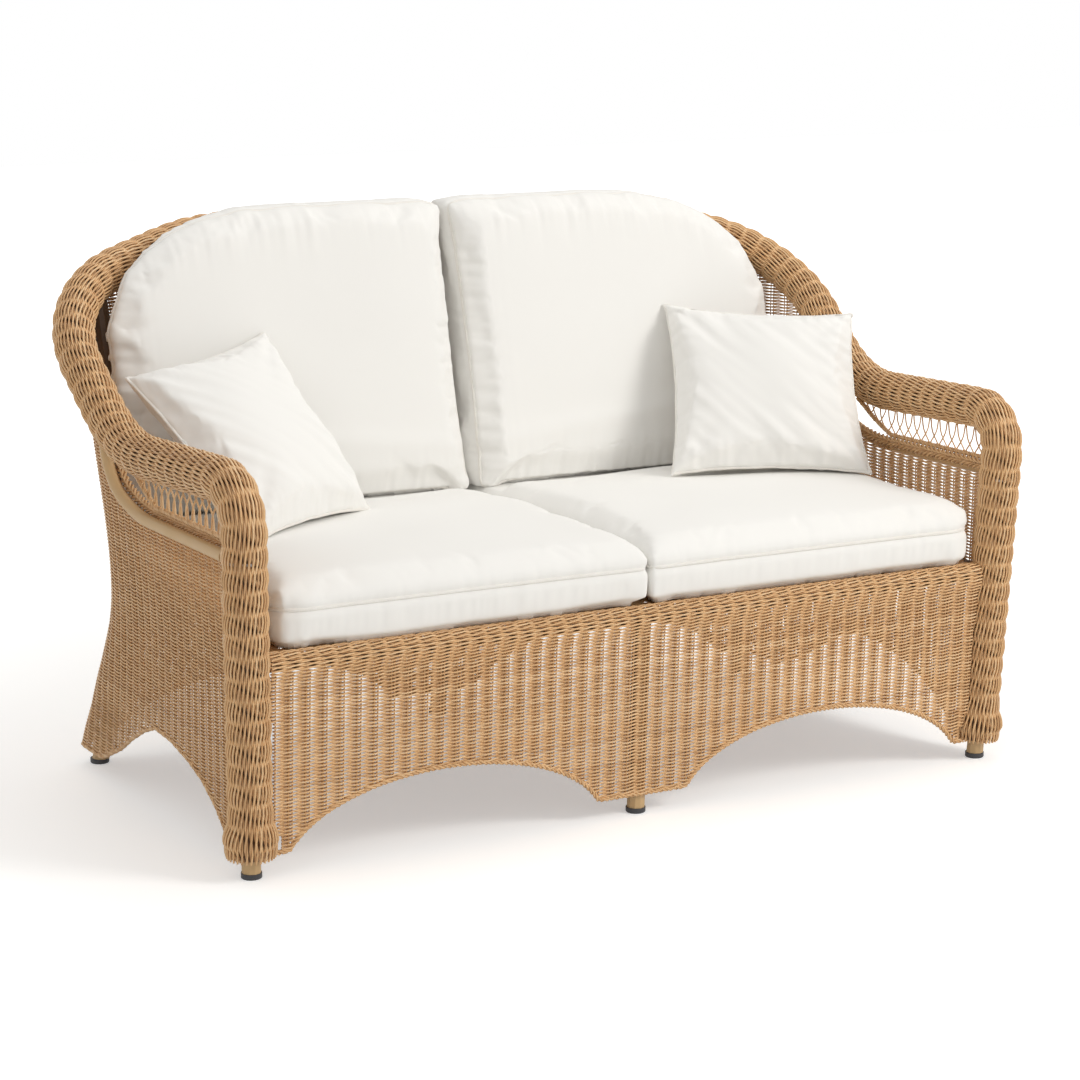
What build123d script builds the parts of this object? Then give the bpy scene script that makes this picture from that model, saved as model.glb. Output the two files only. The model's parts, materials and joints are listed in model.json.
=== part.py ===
from build123d import *
import os
from math import ceil, cos, degrees, pi, radians, sin, tan

# A two-seat woven patio loveseat: a bent tube frame dressed in resin wicker,
# with two seat cushions, two back cushions and two loose pillows.
# Millimetres. X runs along the seat, Y to the back, Z up from the floor.
# The model is laid out from the line of the front feet, and is moved at the
# end so that the origin is under the middle of its bounding box.

# Fits and cutting
fit_gap = 0.3
overrun = 20
big_span = 1200

# Line of the thick woven roll, up the front posts, along the arms and over the back
foot_half_width = 690
knee_half_width = 705
elbow_half_width = 720
shoulder_half_width = 740
knee_reach = 33
elbow_depth = 413
shoulder_depth = 684
back_depth = 801
crown_half_width = 430
hem_height = 35
knee_height = 615
elbow_height = 602
shoulder_height = 822
crown_height = 904
knee_radius = 67
elbow_radius = 266
shoulder_radius = 241
crown_radius = 350
roll_joint_share = 0.4
arch_steps = 20

# Woven roll and the bell at the foot of each front post
roll_radius = 35
roll_wall = 5
bell_radius = 44
bell_hem_radius = 38
bell_top_height = 100
bell_widest_height = 60
spacer_length = 4
spacer_slack = 1.4
arm_spacer_share = 0.4
back_spacer_share = 0.36
mitre_turn = 18
roll_sides = 20
bar_sides = 10

# Frame tubes
tube_radius = 15
tube_wall = 1.5
rail_radius = 12.5
upright_radius = 9
cap_radius = 16.5
cap_height = 9
cap_rim = 1.5
cap_sides = 24
rail_height = 335
upright_half_spacing = 360
front_centre_foot_depth = 11
front_centre_leg_depth = -6
slat_width = 25
slat_thickness = 4
slat_pitch = 150
slats_each_side = 3
rear_foot_half_width = 664
rear_foot_depth = 717
leg_waist_half_width = 618
leg_waist_depth = 607
leg_top_half_width = 648
leg_top_depth = 702
leg_top_height = 824
leg_bend_radius = 120
rear_centre_foot_depth = 721

# Woven skin round the sides and back: half width, back depth and corner
# radius at each level, from the hem to above the top of the back
skin_thickness = 9
skin_top_height = 926
skin_corner_steps = 6
skin_levels = (
    (hem_height, 694, 745, 35),
    (155, 696, 721, 110),
    (rail_height, 701, 690, 200),
    (knee_height, 712.5, 746, 220),
    (skin_top_height, 738, 808, 250),
)
side_back_split = 480

# Arches cut in the skirts of the front, the back and the sides
arch_half_width = 285
arch_rise = 135
arch_centre = 357
side_arch_line = (
    (62, 20), (73, 42), (120, 84), (170, 112), (228, 132), (295, 146), (365, 151),
    (420, 133), (477, 105), (530, 75), (590, 50), (640, 30),
)

# Front apron and its braided top edge
apron_thickness = 9
apron_face_depth = -30
apron_lean_share = 0.055
braid_radius = 13
braid_height = 338

# Smooth bent band, braid and open lattice under each arm
band_radius = 10
band_half_width = 721
band_height = 504
band_bend_depth = 355
band_rise_depth = 482
band_rise_height = 545
band_end_depth = 497
band_end_height = 640
band_bend_radius = 350
band_rise_radius = 110
arm_braid_radius = 11
lattice_half_width = 711
lattice_strip_width = 7
lattice_strip_thickness = 2.5
lattice_pitch = 50
lattice_angle = 52
lattice_strips = 11

# Seat deck
deck_thickness = 5
deck_half_width = 672
deck_front_depth = 2
deck_rear_depth = 655
deck_corner_radius = 165

# Cushions
cushion_gap = 1.5
cover_wall = 2
cushion_half_span = 655
seat_front_depth = -34
seat_rear_depth = 650
seat_corner_radius = 170
seat_front_corner_radius = 35
seat_front_height = 443
seat_crown_height = 472
seat_crown_depth = 230
seat_back_height = 450
seat_flat_depth = 520
back_cushion_half_span = 668
back_front_depth = 546
back_rear_depth = 686
back_turn_half_width = 370
back_end_depth = 592
back_end_chamfer = 25
back_rear_recline = 9.8
back_front_recline = 13.6
back_top_height = 945
back_measure_height = 450.3
back_shoulder = ((470, 945), (560, 918), (622, 866), (668, 775))
pillow_size = 350
pillow_depth = 120
pillow_rim = 12
pillow_turn = 29.3
pillow_lean = 34.3
pillow_offset = 485


def mitred_rod(points, radii, radius, sides=bar_sides):
    """Round bar of short straight lengths with mitred joints, just outside the same line."""
    path = FilletPolyline(*points, radius=radii)
    corners = [path @ 0]
    for edge in path.edges():
        if edge.geom_type == GeomType.CIRCLE:
            turn = degrees(edge.length / edge.radius)
            count = ceil(turn / mitre_turn)
            reach = 1 / cos(radians(turn / count / 2))
            centre = edge.arc_center
            for step in range(count):
                on_arc = edge @ ((step + 0.5) / count)
                corners.append(centre + (on_arc - centre) * reach)
    corners.append(path @ 1)
    line = Polyline(*corners)
    section = Plane(origin=line @ 0, z_dir=line % 0) * RegularPolygon(radius, sides)
    return sweep(section, path=line, transition=Transition.RIGHT)


def straight_rod(start, end, radius, sides=bar_sides):
    """Round bar from one point to another."""
    line = Line(start, end)
    plane = Plane(origin=line @ 0, z_dir=line % 0)
    return extrude(plane * RegularPolygon(radius, sides), line.length)


def mirrored(shape):
    """The same piece on the other side of the seat."""
    return mirror(shape, about=Plane.YZ)


def flipped(point):
    """The same point on the other side of the seat."""
    return Vector(-point.X, point.Y, point.Z)


def largest(shape):
    """The main solid of a shape, without the crumbs that a cope leaves."""
    return shape.solids().sort_by(SortBy.VOLUME)[-1]


# Corner points of the roll, right-hand side
foot = Vector(foot_half_width, 0, hem_height)
knee = Vector(knee_half_width, -knee_reach, knee_height)
elbow = Vector(elbow_half_width, elbow_depth, elbow_height)
shoulder = Vector(shoulder_half_width, shoulder_depth, shoulder_height)
crown = Vector(crown_half_width, back_depth, crown_height)
roll_joint = elbow + (shoulder - elbow) * roll_joint_share
post_axis = (knee - foot).normalized()


def on_line(start, end, height):
    """Point at a height on the line through two points."""
    return start + (end - start) * ((height - start.Z) / (end.Z - start.Z))


def on_post(height):
    """Point on the axis of the right front post."""
    return on_line(foot, knee, height)


arm_radii = (knee_radius, elbow_radius)
arm_points = (on_post(bell_widest_height), knee, elbow, roll_joint)
arm_tube_points = (on_post(0), knee, elbow, roll_joint)
back_radii = (shoulder_radius, crown_radius, crown_radius, shoulder_radius)
back_points = (roll_joint, shoulder, crown, flipped(crown), flipped(shoulder), flipped(roll_joint))
arm_path = FilletPolyline(*arm_points, radius=arm_radii)
back_path = FilletPolyline(*back_points, radius=back_radii)
front_extent = arm_path.bounding_box().min.Y - roll_radius
rear_extent = back_path.bounding_box().max.Y + roll_radius
depth_middle = (front_extent + rear_extent) / 2

# Bars of the frame, kept whole so that they cope and pierce what meets them
arm_bar = mitred_rod(arm_tube_points, arm_radii, tube_radius)
arch_bar = mitred_rod(back_points, back_radii, tube_radius)
leg_points = (
    Vector(rear_foot_half_width, rear_foot_depth, 0),
    Vector(leg_waist_half_width, leg_waist_depth, rail_height),
    Vector(leg_top_half_width, leg_top_depth, leg_top_height),
)
leg_radii = (leg_bend_radius,)
leg_bar = mitred_rod(leg_points, leg_radii, tube_radius)
arm_bars = arm_bar + mirrored(arm_bar)
leg_bars = leg_bar + mirrored(leg_bar)

# Where the seat rails run, just inside the woven skin
waist_level = skin_levels[2]
side_rail_x = waist_level[1] - skin_thickness / 2 - rail_radius - fit_gap
rear_rail_y = waist_level[2] - skin_thickness / 2 - rail_radius - fit_gap
rail_start = on_post(rail_height)
waist = leg_points[1]
side_rail_points = (
    Vector(side_rail_x, rail_start.Y, rail_height),
    Vector(side_rail_x, waist_level[2] - waist_level[3], rail_height),
    waist,
)
rear_turn = Vector(waist_level[1] - waist_level[3], rear_rail_y, rail_height)
rear_rail_points = (waist, rear_turn, flipped(rear_turn), flipped(waist))
front_rail_points = (flipped(rail_start), rail_start)
centre_front = Vector(0, rail_start.Y, rail_height)
centre_rear = Vector(0, rear_rail_y, rail_height)
front_centre_foot = Vector(0, front_centre_foot_depth, 0)
front_centre_head = Vector(0, front_centre_leg_depth, rail_height)
rear_centre_foot = Vector(0, rear_centre_foot_depth, 0)
upright_head_depth = back_depth - (tube_radius + upright_radius) / 2


def rail(points, radii, radius):
    """Seat rail as a full bar: straight, or bent where it has inner points."""
    if radii:
        return mitred_rod(points, radii, radius)
    return straight_rod(points[0], points[1], radius)


def pipe(points, radii, radius, *copes):
    """Rail or leg as a tube, its ends coped to the bars that it is welded to."""
    tube = rail(points, radii, radius) - rail(points, radii, radius - tube_wall)
    for cope in copes:
        tube = tube - cope
    return largest(tube)


def upright_bars(radius):
    """The bars that stand in the back, from the rear rail to the arch."""
    bars = []
    for x in (-upright_half_spacing, 0, upright_half_spacing):
        lower = Vector(x, rear_rail_y, rail_height)
        upper = Vector(x, upright_head_depth, crown_height)
        bars.append(straight_rod(lower, upper, radius))
    return bars


bend = (deck_corner_radius / 2,)
front_rail_bar = rail(front_rail_points, (), rail_radius)
rear_rail_bar = rail(rear_rail_points, bend + bend, rail_radius)
centre_bar = rail((centre_front, centre_rear), (), rail_radius)
front_centre_bar = rail((front_centre_foot, front_centre_head), (), tube_radius + fit_gap)
rear_centre_bar = rail((rear_centre_foot, centre_rear), (), tube_radius + fit_gap)
floor_block = Pos(0, 0, cap_height / 2 - overrun)
floor_block = floor_block * Box(2 * big_span, 2 * big_span, cap_height + 2 * overrun)
leg_tube = pipe(leg_points, leg_radii, tube_radius, arch_bar, floor_block)
front_rail = pipe(front_rail_points, (), rail_radius, arm_bars)
rear_rail = pipe(rear_rail_points, bend + bend, rail_radius, leg_bars)
side_rail = pipe(side_rail_points, bend, rail_radius, arm_bar, leg_bar, front_rail_bar, rear_rail_bar)
centre_rail = pipe((centre_front, centre_rear), (), rail_radius, front_rail_bar, rear_rail_bar)
front_centre_leg = pipe((front_centre_foot, front_centre_head), (), tube_radius,
                        front_rail_bar, centre_bar, floor_block)
rear_centre_leg = pipe((rear_centre_foot, centre_rear), (), tube_radius,
                       rear_rail_bar, centre_bar, floor_block)
uprights = []
for bar, bore in zip(upright_bars(upright_radius), upright_bars(upright_radius - tube_wall)):
    uprights.append(largest(bar - bore - rear_rail_bar - centre_bar - arch_bar))

slat_length = centre_rear.Y - centre_front.Y
slat_middle = (centre_rear.Y + centre_front.Y) / 2
slat_height = rail_height + rail_radius - slat_thickness / 2
strap_length = slats_each_side * slat_pitch
slats = Pos(strap_length / 2, slat_middle, slat_height) * Box(strap_length, slat_width, slat_thickness)
for index in range(1, slats_each_side + 1):
    place = Pos(index * slat_pitch, slat_middle, slat_height)
    slats = slats + place * Box(slat_width, slat_length, slat_thickness)
for bar in (front_rail_bar, rear_rail_bar, centre_bar, *uprights):
    slats = slats - bar
slats = largest(slats)


def foot_cap(centre):
    """Moulded glide under a tube end, with a rounded lower edge."""
    disc = extrude(Pos(centre.X, centre.Y) * RegularPolygon(cap_radius, cap_sides), cap_height)
    return chamfer(disc.edges().group_by(Axis.Z)[0], cap_rim)


# The woven roll: hollow, and pierced where rails, legs and uprights pass through
roll_bore = roll_radius - roll_wall
bell_place = Plane(origin=foot, z_dir=post_axis)
bell_levels = (
    (0, bell_hem_radius),
    (bell_widest_height - hem_height, bell_radius),
    (bell_top_height - hem_height, roll_radius),
)


def bell_form(spare):
    """The bell at the foot of the right post, as a full form with some room round it."""
    rings = [Pos(0, 0, lift) * RegularPolygon(radius + spare, roll_sides) for lift, radius in bell_levels]
    return bell_place * loft(rings, ruled=True)


bell_bore = straight_rod(foot, on_post(bell_top_height), roll_bore)
bell = bell_form(0) - bell_bore
bell_plug = bell_form(fit_gap)
bell_plugs = bell_plug + mirrored(bell_plug)
arm_roll = mitred_rod(arm_points, arm_radii, roll_radius, roll_sides)
arm_roll = arm_roll - mitred_rod(arm_points, arm_radii, roll_bore) + bell
side_pierce = rail(side_rail_points, bend, rail_radius + fit_gap)
front_pierce = rail(front_rail_points, (), rail_radius + fit_gap)
leg_pierce = mitred_rod(leg_points, leg_radii, tube_radius + fit_gap)
arm_roll = largest(arm_roll - side_pierce - front_pierce - arm_bar)
back_roll = mitred_rod(back_points, back_radii, roll_radius, roll_sides)
back_roll = back_roll - mitred_rod(back_points, back_radii, roll_bore)
back_roll = back_roll - leg_pierce - mirrored(leg_pierce)
for bar in upright_bars(upright_radius + fit_gap):
    back_roll = back_roll - bar
back_roll = largest(back_roll)


def spacer(path, share):
    """Hoop between the tube and the inside of the roll."""
    plane = Plane(origin=path @ share, z_dir=path % share)
    hole = (tube_radius + fit_gap) / cos(pi / bar_sides)
    hoop = RegularPolygon(roll_bore - spacer_slack, bar_sides) - RegularPolygon(hole, bar_sides)
    return extrude(plane * hoop, spacer_length)


arm_spacer = spacer(arm_path, arm_spacer_share)
back_spacer = spacer(back_path, back_spacer_share)


def skin_outline(level, inset):
    """Right half of a plan of the skin at one level, with its corner in short flats."""
    height, half_width, depth, corner = level
    side = half_width - inset
    rear = depth - inset
    turn = corner - inset
    outline = [Vector(side, front_extent - overrun, height)]
    for step in range(skin_corner_steps + 1):
        angle = pi / 2 * step / skin_corner_steps
        outline.append(Vector(side - turn + turn * cos(angle), rear - turn + turn * sin(angle), height))
    return outline


def skin_band(level):
    """The skin cut level: a U-shaped band, open to the front."""
    outer = skin_outline(level, -skin_thickness / 2)
    inner = skin_outline(level, skin_thickness / 2)
    outer_left = [flipped(point) for point in reversed(outer)]
    inner_left = [flipped(point) for point in inner]
    return make_face(Polyline(*outer, *outer_left, *inner_left, *reversed(inner), close=True))


def solid_roll(radius):
    """The whole roll as one full bar, to cut what meets it from outside."""
    arm = mitred_rod(arm_tube_points, arm_radii, radius, roll_sides)
    return arm + mirrored(arm) + mitred_rod(back_points, back_radii, radius, roll_sides)


def above_line(points, far_corners, plane, width):
    """Block above an edge line, drawn in one plane and run across the part."""
    outline = Polyline(*points, *far_corners, close=True)
    return extrude(plane * make_face(outline), width, both=True)


roll_cut = solid_roll(roll_radius + fit_gap)
skin = loft([skin_band(level) for level in skin_levels], ruled=True)
top = big_span
arch_marks = [back_path @ (step / arch_steps) for step in range(arch_steps + 1)]
arch_line = [(point.X, point.Z) for point in arch_marks]
far_corners = [
    (-big_span, arch_line[-1][1]),
    (-big_span, top),
    (big_span, top),
    (big_span, arch_line[0][1]),
]
skin = skin - above_line(arch_line, far_corners, Plane.XZ, big_span)
band_line = FilletPolyline(
    (-big_span, band_height),
    (band_bend_depth, band_height),
    (band_rise_depth, band_rise_height),
    (band_end_depth, band_end_height),
    radius=(band_bend_radius, band_rise_radius),
)
side_block = make_face([*band_line.edges(), Line((band_end_depth, band_end_height), (band_end_depth, top)),
                        Line((band_end_depth, top), (-big_span, top)),
                        Line((-big_span, top), (-big_span, band_height))])
skin = skin - extrude(Plane.YZ * side_block, big_span, both=True)
side_arch = make_face(Polyline(
    (side_arch_line[0][0], -overrun),
    *side_arch_line,
    (side_arch_line[-1][0], -overrun),
    close=True,
))
skin = skin - extrude(Plane.YZ * side_arch, big_span, both=True)


def skirt_arches():
    """The two low arches of a front or back skirt."""
    arches = [Pos(side * arch_centre, 0) * Ellipse(arch_half_width, arch_rise) for side in (-1, 1)]
    return arches[0] + arches[1]


rear_half = Pos(0, back_depth, 0) * Box(2 * big_span, back_depth, 2 * big_span)
skin = skin - (extrude(Plane.XZ * skirt_arches(), big_span, both=True) & rear_half)
skin = skin - roll_cut - bell_plugs - leg_pierce - mirrored(leg_pierce) - rear_centre_bar
middle_block = Box(2 * side_back_split, 4 * big_span, 4 * big_span)
back_weave = largest(skin & middle_block)
side_stock = skin - middle_block
right_block = Pos(big_span, 0, 0) * Box(2 * big_span, 4 * big_span, 4 * big_span)
side_weave = largest(side_stock & right_block)

# Front apron between the posts, leaning with them, and its braided edge
apron_height = braid_height - hem_height
apron_outline = Pos(0, braid_height / 2 + hem_height / 2) * Rectangle(2 * foot_half_width, apron_height)
apron_outline = apron_outline - skirt_arches()
apron_foot_depth = apron_face_depth + apron_lean_share * rail_height
apron_plane = Plane(
    origin=(0, apron_foot_depth, 0),
    x_dir=(1, 0, 0),
    z_dir=(0, -1, -apron_lean_share),
)
apron = extrude(apron_plane * apron_outline, -apron_thickness)
braid_depth = apron_foot_depth - apron_lean_share * braid_height + apron_thickness / 2
braid_bar = straight_rod(
    Vector(-foot_half_width, braid_depth, braid_height),
    Vector(foot_half_width, braid_depth, braid_height),
    braid_radius,
)
apron_braid = largest(braid_bar - roll_cut - front_pierce - front_centre_bar - centre_bar)
apron = largest(apron - roll_cut - bell_plugs - braid_bar - front_pierce - front_centre_bar)

# Under each arm: the smooth bent band, the braid along it and the open lattice
band_points = (
    Vector(band_half_width, 0, band_height),
    Vector(band_half_width, band_bend_depth, band_height),
    Vector(band_half_width, band_rise_depth, band_rise_height),
    Vector(band_half_width, band_end_depth, band_end_height),
)
band_radii = (band_bend_radius, band_rise_radius)
band_bar = mitred_rod(band_points, band_radii, band_radius)
arm_band = largest(band_bar - roll_cut - skin)
braid_lift = band_radius + arm_braid_radius
arm_braid_points = (
    Vector(lattice_half_width, 0, band_height + braid_lift),
    Vector(lattice_half_width, band_bend_depth - braid_lift, band_height + braid_lift),
    Vector(lattice_half_width, band_rise_depth - 2 * braid_lift, band_end_height),
)
arm_braid_bar = mitred_rod(arm_braid_points, (band_rise_radius,), arm_braid_radius)
arm_braid = largest(arm_braid_bar - roll_cut - band_bar - skin)


def lattice_strip(depth, angle, layer):
    """One flat strip of the lattice, on the outer or the inner layer."""
    length = 4 * lattice_pitch
    strip = Box(lattice_strip_thickness, lattice_strip_width, length)
    side = lattice_half_width + layer * lattice_strip_thickness / 2
    return Pos(side, depth, knee_height - lattice_pitch) * Rot(angle, 0, 0) * strip


knee_side = knee.Y
field = make_face(Polyline(
    (knee_side, band_height + braid_lift),
    (arm_braid_points[1].Y, band_height + braid_lift),
    (arm_braid_points[2].Y, band_end_height),
    (arm_braid_points[2].Y, elbow_height),
    (knee_side, knee_height),
    close=True,
))
lattice_field = extrude(Plane.YZ * field, 2 * lattice_strip_thickness, both=True)
lattice_field = Pos(lattice_half_width, 0, 0) * lattice_field
lattice_field = lattice_field - roll_cut - arm_braid_bar - band_bar - skin
strips = []
for layer, angle in ((-1, 90 - lattice_angle), (1, lattice_angle - 90)):
    for index in range(lattice_strips):
        strip = lattice_strip(index * lattice_pitch, angle, layer) & lattice_field
        for solid in strip.solids():
            if solid.volume > lattice_strip_width ** 3:
                strips.append(solid)

lattice = strips[0].fuse(*strips[1:])

# Seat deck, notched round the posts and the rear legs
deck_front = deck_front_depth
deck_middle = (deck_front + deck_rear_depth) / 2
deck = Rectangle(2 * deck_half_width, deck_rear_depth - deck_front)
deck = fillet(deck.vertices().group_by(Axis.Y)[-1], deck_corner_radius)
deck = Pos(0, deck_middle, rail_height + rail_radius) * extrude(deck, deck_thickness)
deck = largest(deck - roll_cut - leg_pierce - mirrored(leg_pierce) - braid_bar)
deck_top = rail_height + rail_radius + deck_thickness


def seat_cushion(inset):
    """Right seat cushion: a rounded plan under a top that is crowned to the front."""
    wide = cushion_half_span - cushion_gap - 2 * inset
    deep = seat_rear_depth - seat_front_depth - 2 * inset
    plan = Rectangle(wide, deep)
    outer = plan.vertices().group_by(Axis.X)[-1].sort_by(Axis.Y)
    plan = fillet(outer[-1], seat_corner_radius - inset)
    outer = plan.vertices().group_by(Axis.Y)[0].sort_by(Axis.X)
    plan = fillet(outer[-1], seat_front_corner_radius - inset)
    middle_x = (cushion_gap + cushion_half_span) / 2
    plan = Pos(middle_x, (seat_front_depth + seat_rear_depth) / 2) * plan
    base = deck_top + fit_gap + inset
    block = Pos(0, 0, base) * extrude(plan, seat_crown_height - base)
    side = make_face([
        Line((seat_front_depth, base), (seat_front_depth, seat_front_height - inset)),
        ThreePointArc((seat_front_depth, seat_front_height - inset),
                      (seat_crown_depth, seat_crown_height - inset),
                      (seat_flat_depth, seat_back_height - inset)),
        Line((seat_flat_depth, seat_back_height - inset),
             (seat_rear_depth, seat_back_height - inset)),
        Line((seat_rear_depth, seat_back_height - inset), (seat_rear_depth, base)),
        Line((seat_rear_depth, base), (seat_front_depth, base)),
    ])
    return largest(block & extrude(Plane.YZ * side, big_span, both=True))


back_slope = tan(radians(back_front_recline))
back_base = seat_back_height + fit_gap
base_shift = back_base - back_measure_height
front_base_depth = back_front_depth + base_shift * back_slope
rear_base_shift = base_shift * tan(radians(back_rear_recline))
rear_lean = Vector(0, sin(radians(back_rear_recline)), cos(radians(back_rear_recline)))


def back_cushion(inset):
    """Right back cushion: leans on the arch, thinner to the top, outer top corner rounded."""
    plan = make_face(Polyline(
        (cushion_gap, front_base_depth - overrun),
        (back_cushion_half_span, front_base_depth - overrun),
        (back_cushion_half_span, back_end_depth + rear_base_shift),
        (back_turn_half_width, back_rear_depth + rear_base_shift),
        (cushion_gap, back_rear_depth + rear_base_shift),
        close=True,
    ))
    rear_end = plan.vertices().group_by(Axis.X)[-1].sort_by(Axis.Y)[-1]
    plan = chamfer(rear_end, back_end_chamfer)
    if inset:
        plan = offset(plan, -inset)
    base = back_base + inset
    length = (back_top_height - back_base) / cos(radians(back_rear_recline))
    block = extrude(Pos(0, 0, base) * plan, length, dir=rear_lean)
    front_view = make_face(Polyline(
        (0, back_base),
        (0, back_top_height),
        *back_shoulder,
        (back_cushion_half_span, back_base),
        close=True,
    ))
    if inset:
        front_view = offset(front_view, -inset)
    block = block & extrude(Plane.XZ * front_view, big_span, both=True)
    front = front_base_depth + inset
    rise = big_span
    wedge = Polyline((front, back_base), (front + rise * back_slope, back_base + rise),
                     (big_span, back_base + rise), (big_span, back_base), close=True)
    return largest(block & extrude(Plane.YZ * make_face(wedge), big_span, both=True))


def pillow_form(inset):
    """Square pillow with full cheeks and thin edges, lying flat round its own centre."""
    half = pillow_size / 2 - inset
    rim = pillow_rim / 2 - inset / 2
    full = pillow_depth / 2 - inset
    lens = make_face([
        ThreePointArc((-half, rim), (0, full), (half, rim)),
        Line((half, rim), (half, -rim)),
        ThreePointArc((half, -rim), (0, -full), (-half, -rim)),
        Line((-half, -rim), (-half, rim)),
    ])
    one = extrude(Plane.XZ * lens, half, both=True)
    other = extrude(Plane.YZ * lens, half, both=True)
    return largest(one & other)


def pillow_plane(side, offset):
    """Where a pillow leans: turned to the middle, foot on the seat, corner on the back cushion."""
    turn = radians(pillow_turn)
    lean = radians(pillow_lean)
    across = Vector(cos(turn), -side * sin(turn), 0)
    face = Vector(-side * sin(turn) * cos(lean), -cos(turn) * cos(lean), sin(lean))
    up = face.cross(across)
    half = pillow_size / 2
    rim = pillow_rim / 2
    lowest = up * -half - face * rim
    rest_height = seat_crown_height + fit_gap - lowest.Z
    corner = across * (-side * half) + up * half - face * rim
    front_there = front_base_depth + (rest_height + corner.Z - back_base) * back_slope
    rest_depth = front_there - corner.Y - 2 * fit_gap
    return Plane(origin=(side * offset, rest_depth, rest_height), x_dir=across, z_dir=face)


def shelled(form):
    """Cover and filling of a cushion, from its form at each inset."""
    cover = form(0) - form(cover_wall)
    return largest(cover), form(cover_wall + fit_gap)


seat_cover, seat_foam = shelled(seat_cushion)
back_cover, back_fill = shelled(back_cushion)
pillow_cover, pillow_fill = shelled(pillow_form)
left_pillow = pillow_plane(-1, pillow_offset)
right_pillow = pillow_plane(1, pillow_offset)
arm_tube = pipe(arm_tube_points, arm_radii, tube_radius, floor_block)
arch_tube = pipe(back_points, back_radii, tube_radius)

single_nodes = {
    "back_arch_tube": arch_tube,
    "front_rail": front_rail,
    "rear_rail": rear_rail,
    "centre_rail": centre_rail,
    "front_centre_leg": front_centre_leg,
    "rear_centre_leg": rear_centre_leg,
    "back_uprights": Compound(children=uprights),
    "back_roll": back_roll,
    "back_weave": back_weave,
    "apron_weave": apron,
    "apron_braid": apron_braid,
    "seat_deck": deck,
    "foot_cap_front_centre": foot_cap(front_centre_foot),
    "foot_cap_rear_centre": foot_cap(rear_centre_foot),
    "pillow_cover_left": left_pillow * pillow_cover,
    "pillow_fill_left": left_pillow * pillow_fill,
    "pillow_cover_right": right_pillow * pillow_cover,
    "pillow_fill_right": right_pillow * pillow_fill,
}
paired_nodes = {
    "arm_tube": arm_tube,
    "seat_slats": slats,
    "arm_spacer": arm_spacer,
    "back_spacer": back_spacer,
    "rear_leg_tube": leg_tube,
    "side_rail": side_rail,
    "arm_roll": arm_roll,
    "side_weave": side_weave,
    "arm_band": arm_band,
    "arm_braid": arm_braid,
    "arm_lattice": largest(lattice),
    "foot_cap_front": foot_cap(on_post(0)),
    "foot_cap_rear": foot_cap(leg_points[0]),
    "seat_cover": seat_cover,
    "seat_foam": seat_foam,
    "back_cover": back_cover,
    "back_fill": back_fill,
}

os.makedirs("parts", exist_ok=True)
to_origin = Pos(0, -depth_middle, 0)


def write(name, shape):
    export_step(to_origin * shape, "parts/" + name + ".step")


for name, shape in single_nodes.items():
    write(name, shape)
for name, shape in paired_nodes.items():
    write(name + "_right", shape)
    write(name + "_left", mirrored(shape))
print("origin is", round(depth_middle, 3), "mm behind the front feet")
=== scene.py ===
import json
from math import ceil, cos, exp, pi, radians, sin, sqrt, tan
from random import Random

import bmesh
import bpy
from bpy.props import FloatProperty, FloatVectorProperty, IntProperty, PointerProperty
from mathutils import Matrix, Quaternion, Vector, noise


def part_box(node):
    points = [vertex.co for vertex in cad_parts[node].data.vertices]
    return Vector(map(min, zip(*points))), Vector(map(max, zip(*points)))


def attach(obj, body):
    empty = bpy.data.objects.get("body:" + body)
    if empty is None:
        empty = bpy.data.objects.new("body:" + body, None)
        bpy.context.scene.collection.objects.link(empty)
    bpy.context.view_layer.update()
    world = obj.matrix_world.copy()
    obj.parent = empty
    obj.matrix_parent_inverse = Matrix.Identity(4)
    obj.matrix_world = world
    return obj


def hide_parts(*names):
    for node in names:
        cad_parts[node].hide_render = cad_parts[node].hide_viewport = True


bl_info = {
    "name": "Woven patio loveseat",
    "version": (1, 0, 0),
    "blender": (4, 5, 0),
    "location": "3D View > Sidebar > Loveseat",
    "description": "Dresses a tube-framed loveseat in resin cane and piped cushions",
    "category": "Object",
}

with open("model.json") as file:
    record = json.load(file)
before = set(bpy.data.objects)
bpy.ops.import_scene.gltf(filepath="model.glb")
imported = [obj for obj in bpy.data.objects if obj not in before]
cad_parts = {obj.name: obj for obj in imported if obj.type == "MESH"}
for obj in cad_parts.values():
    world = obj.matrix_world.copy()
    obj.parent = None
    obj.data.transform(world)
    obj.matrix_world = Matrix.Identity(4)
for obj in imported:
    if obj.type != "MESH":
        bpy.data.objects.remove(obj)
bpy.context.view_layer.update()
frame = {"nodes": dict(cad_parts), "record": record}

# The loveseat is laid out from the line of its front feet; metres, Z up.
middle_foot_setback = 0.011
cap_low, cap_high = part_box("foot_cap_front_centre")
feet_line = (cap_low.y + cap_high.y) / 2 - middle_foot_setback

# Line of the thick roll: foot, knee, elbow and shoulder on the right, then the crown
roll_corners = ((0.690, 0.0, 0.035), (0.705, -0.033, 0.615), (0.720, 0.413, 0.602), (0.740, 0.684, 0.822),
                (0.430, 0.801, 0.904))
roll_bends = (0.067, 0.266, 0.241, 0.350)
roll_joint_share = 0.4
roll_outer_radius = 0.035
bell_levels = ((0.035, 0.038), (0.060, 0.044), (0.100, 0.035))
front_extent = -0.064

# The front posts rise from the foot to the knee, leaning forward and outward
post_foot, post_rise, post_lean, post_splay = 0.035, 0.58, -0.033, 0.015

# Skin of the sides and back: height, half width, depth and corner radius
skin_levels = ((0.035, 0.694, 0.745, 0.035), (0.155, 0.696, 0.721, 0.110), (0.335, 0.701, 0.690, 0.200),
               (0.615, 0.7125, 0.746, 0.220), (0.926, 0.738, 0.808, 0.250))
# From the back's middle to a front post, as the stakes are counted
stake_round = 1.43
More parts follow.
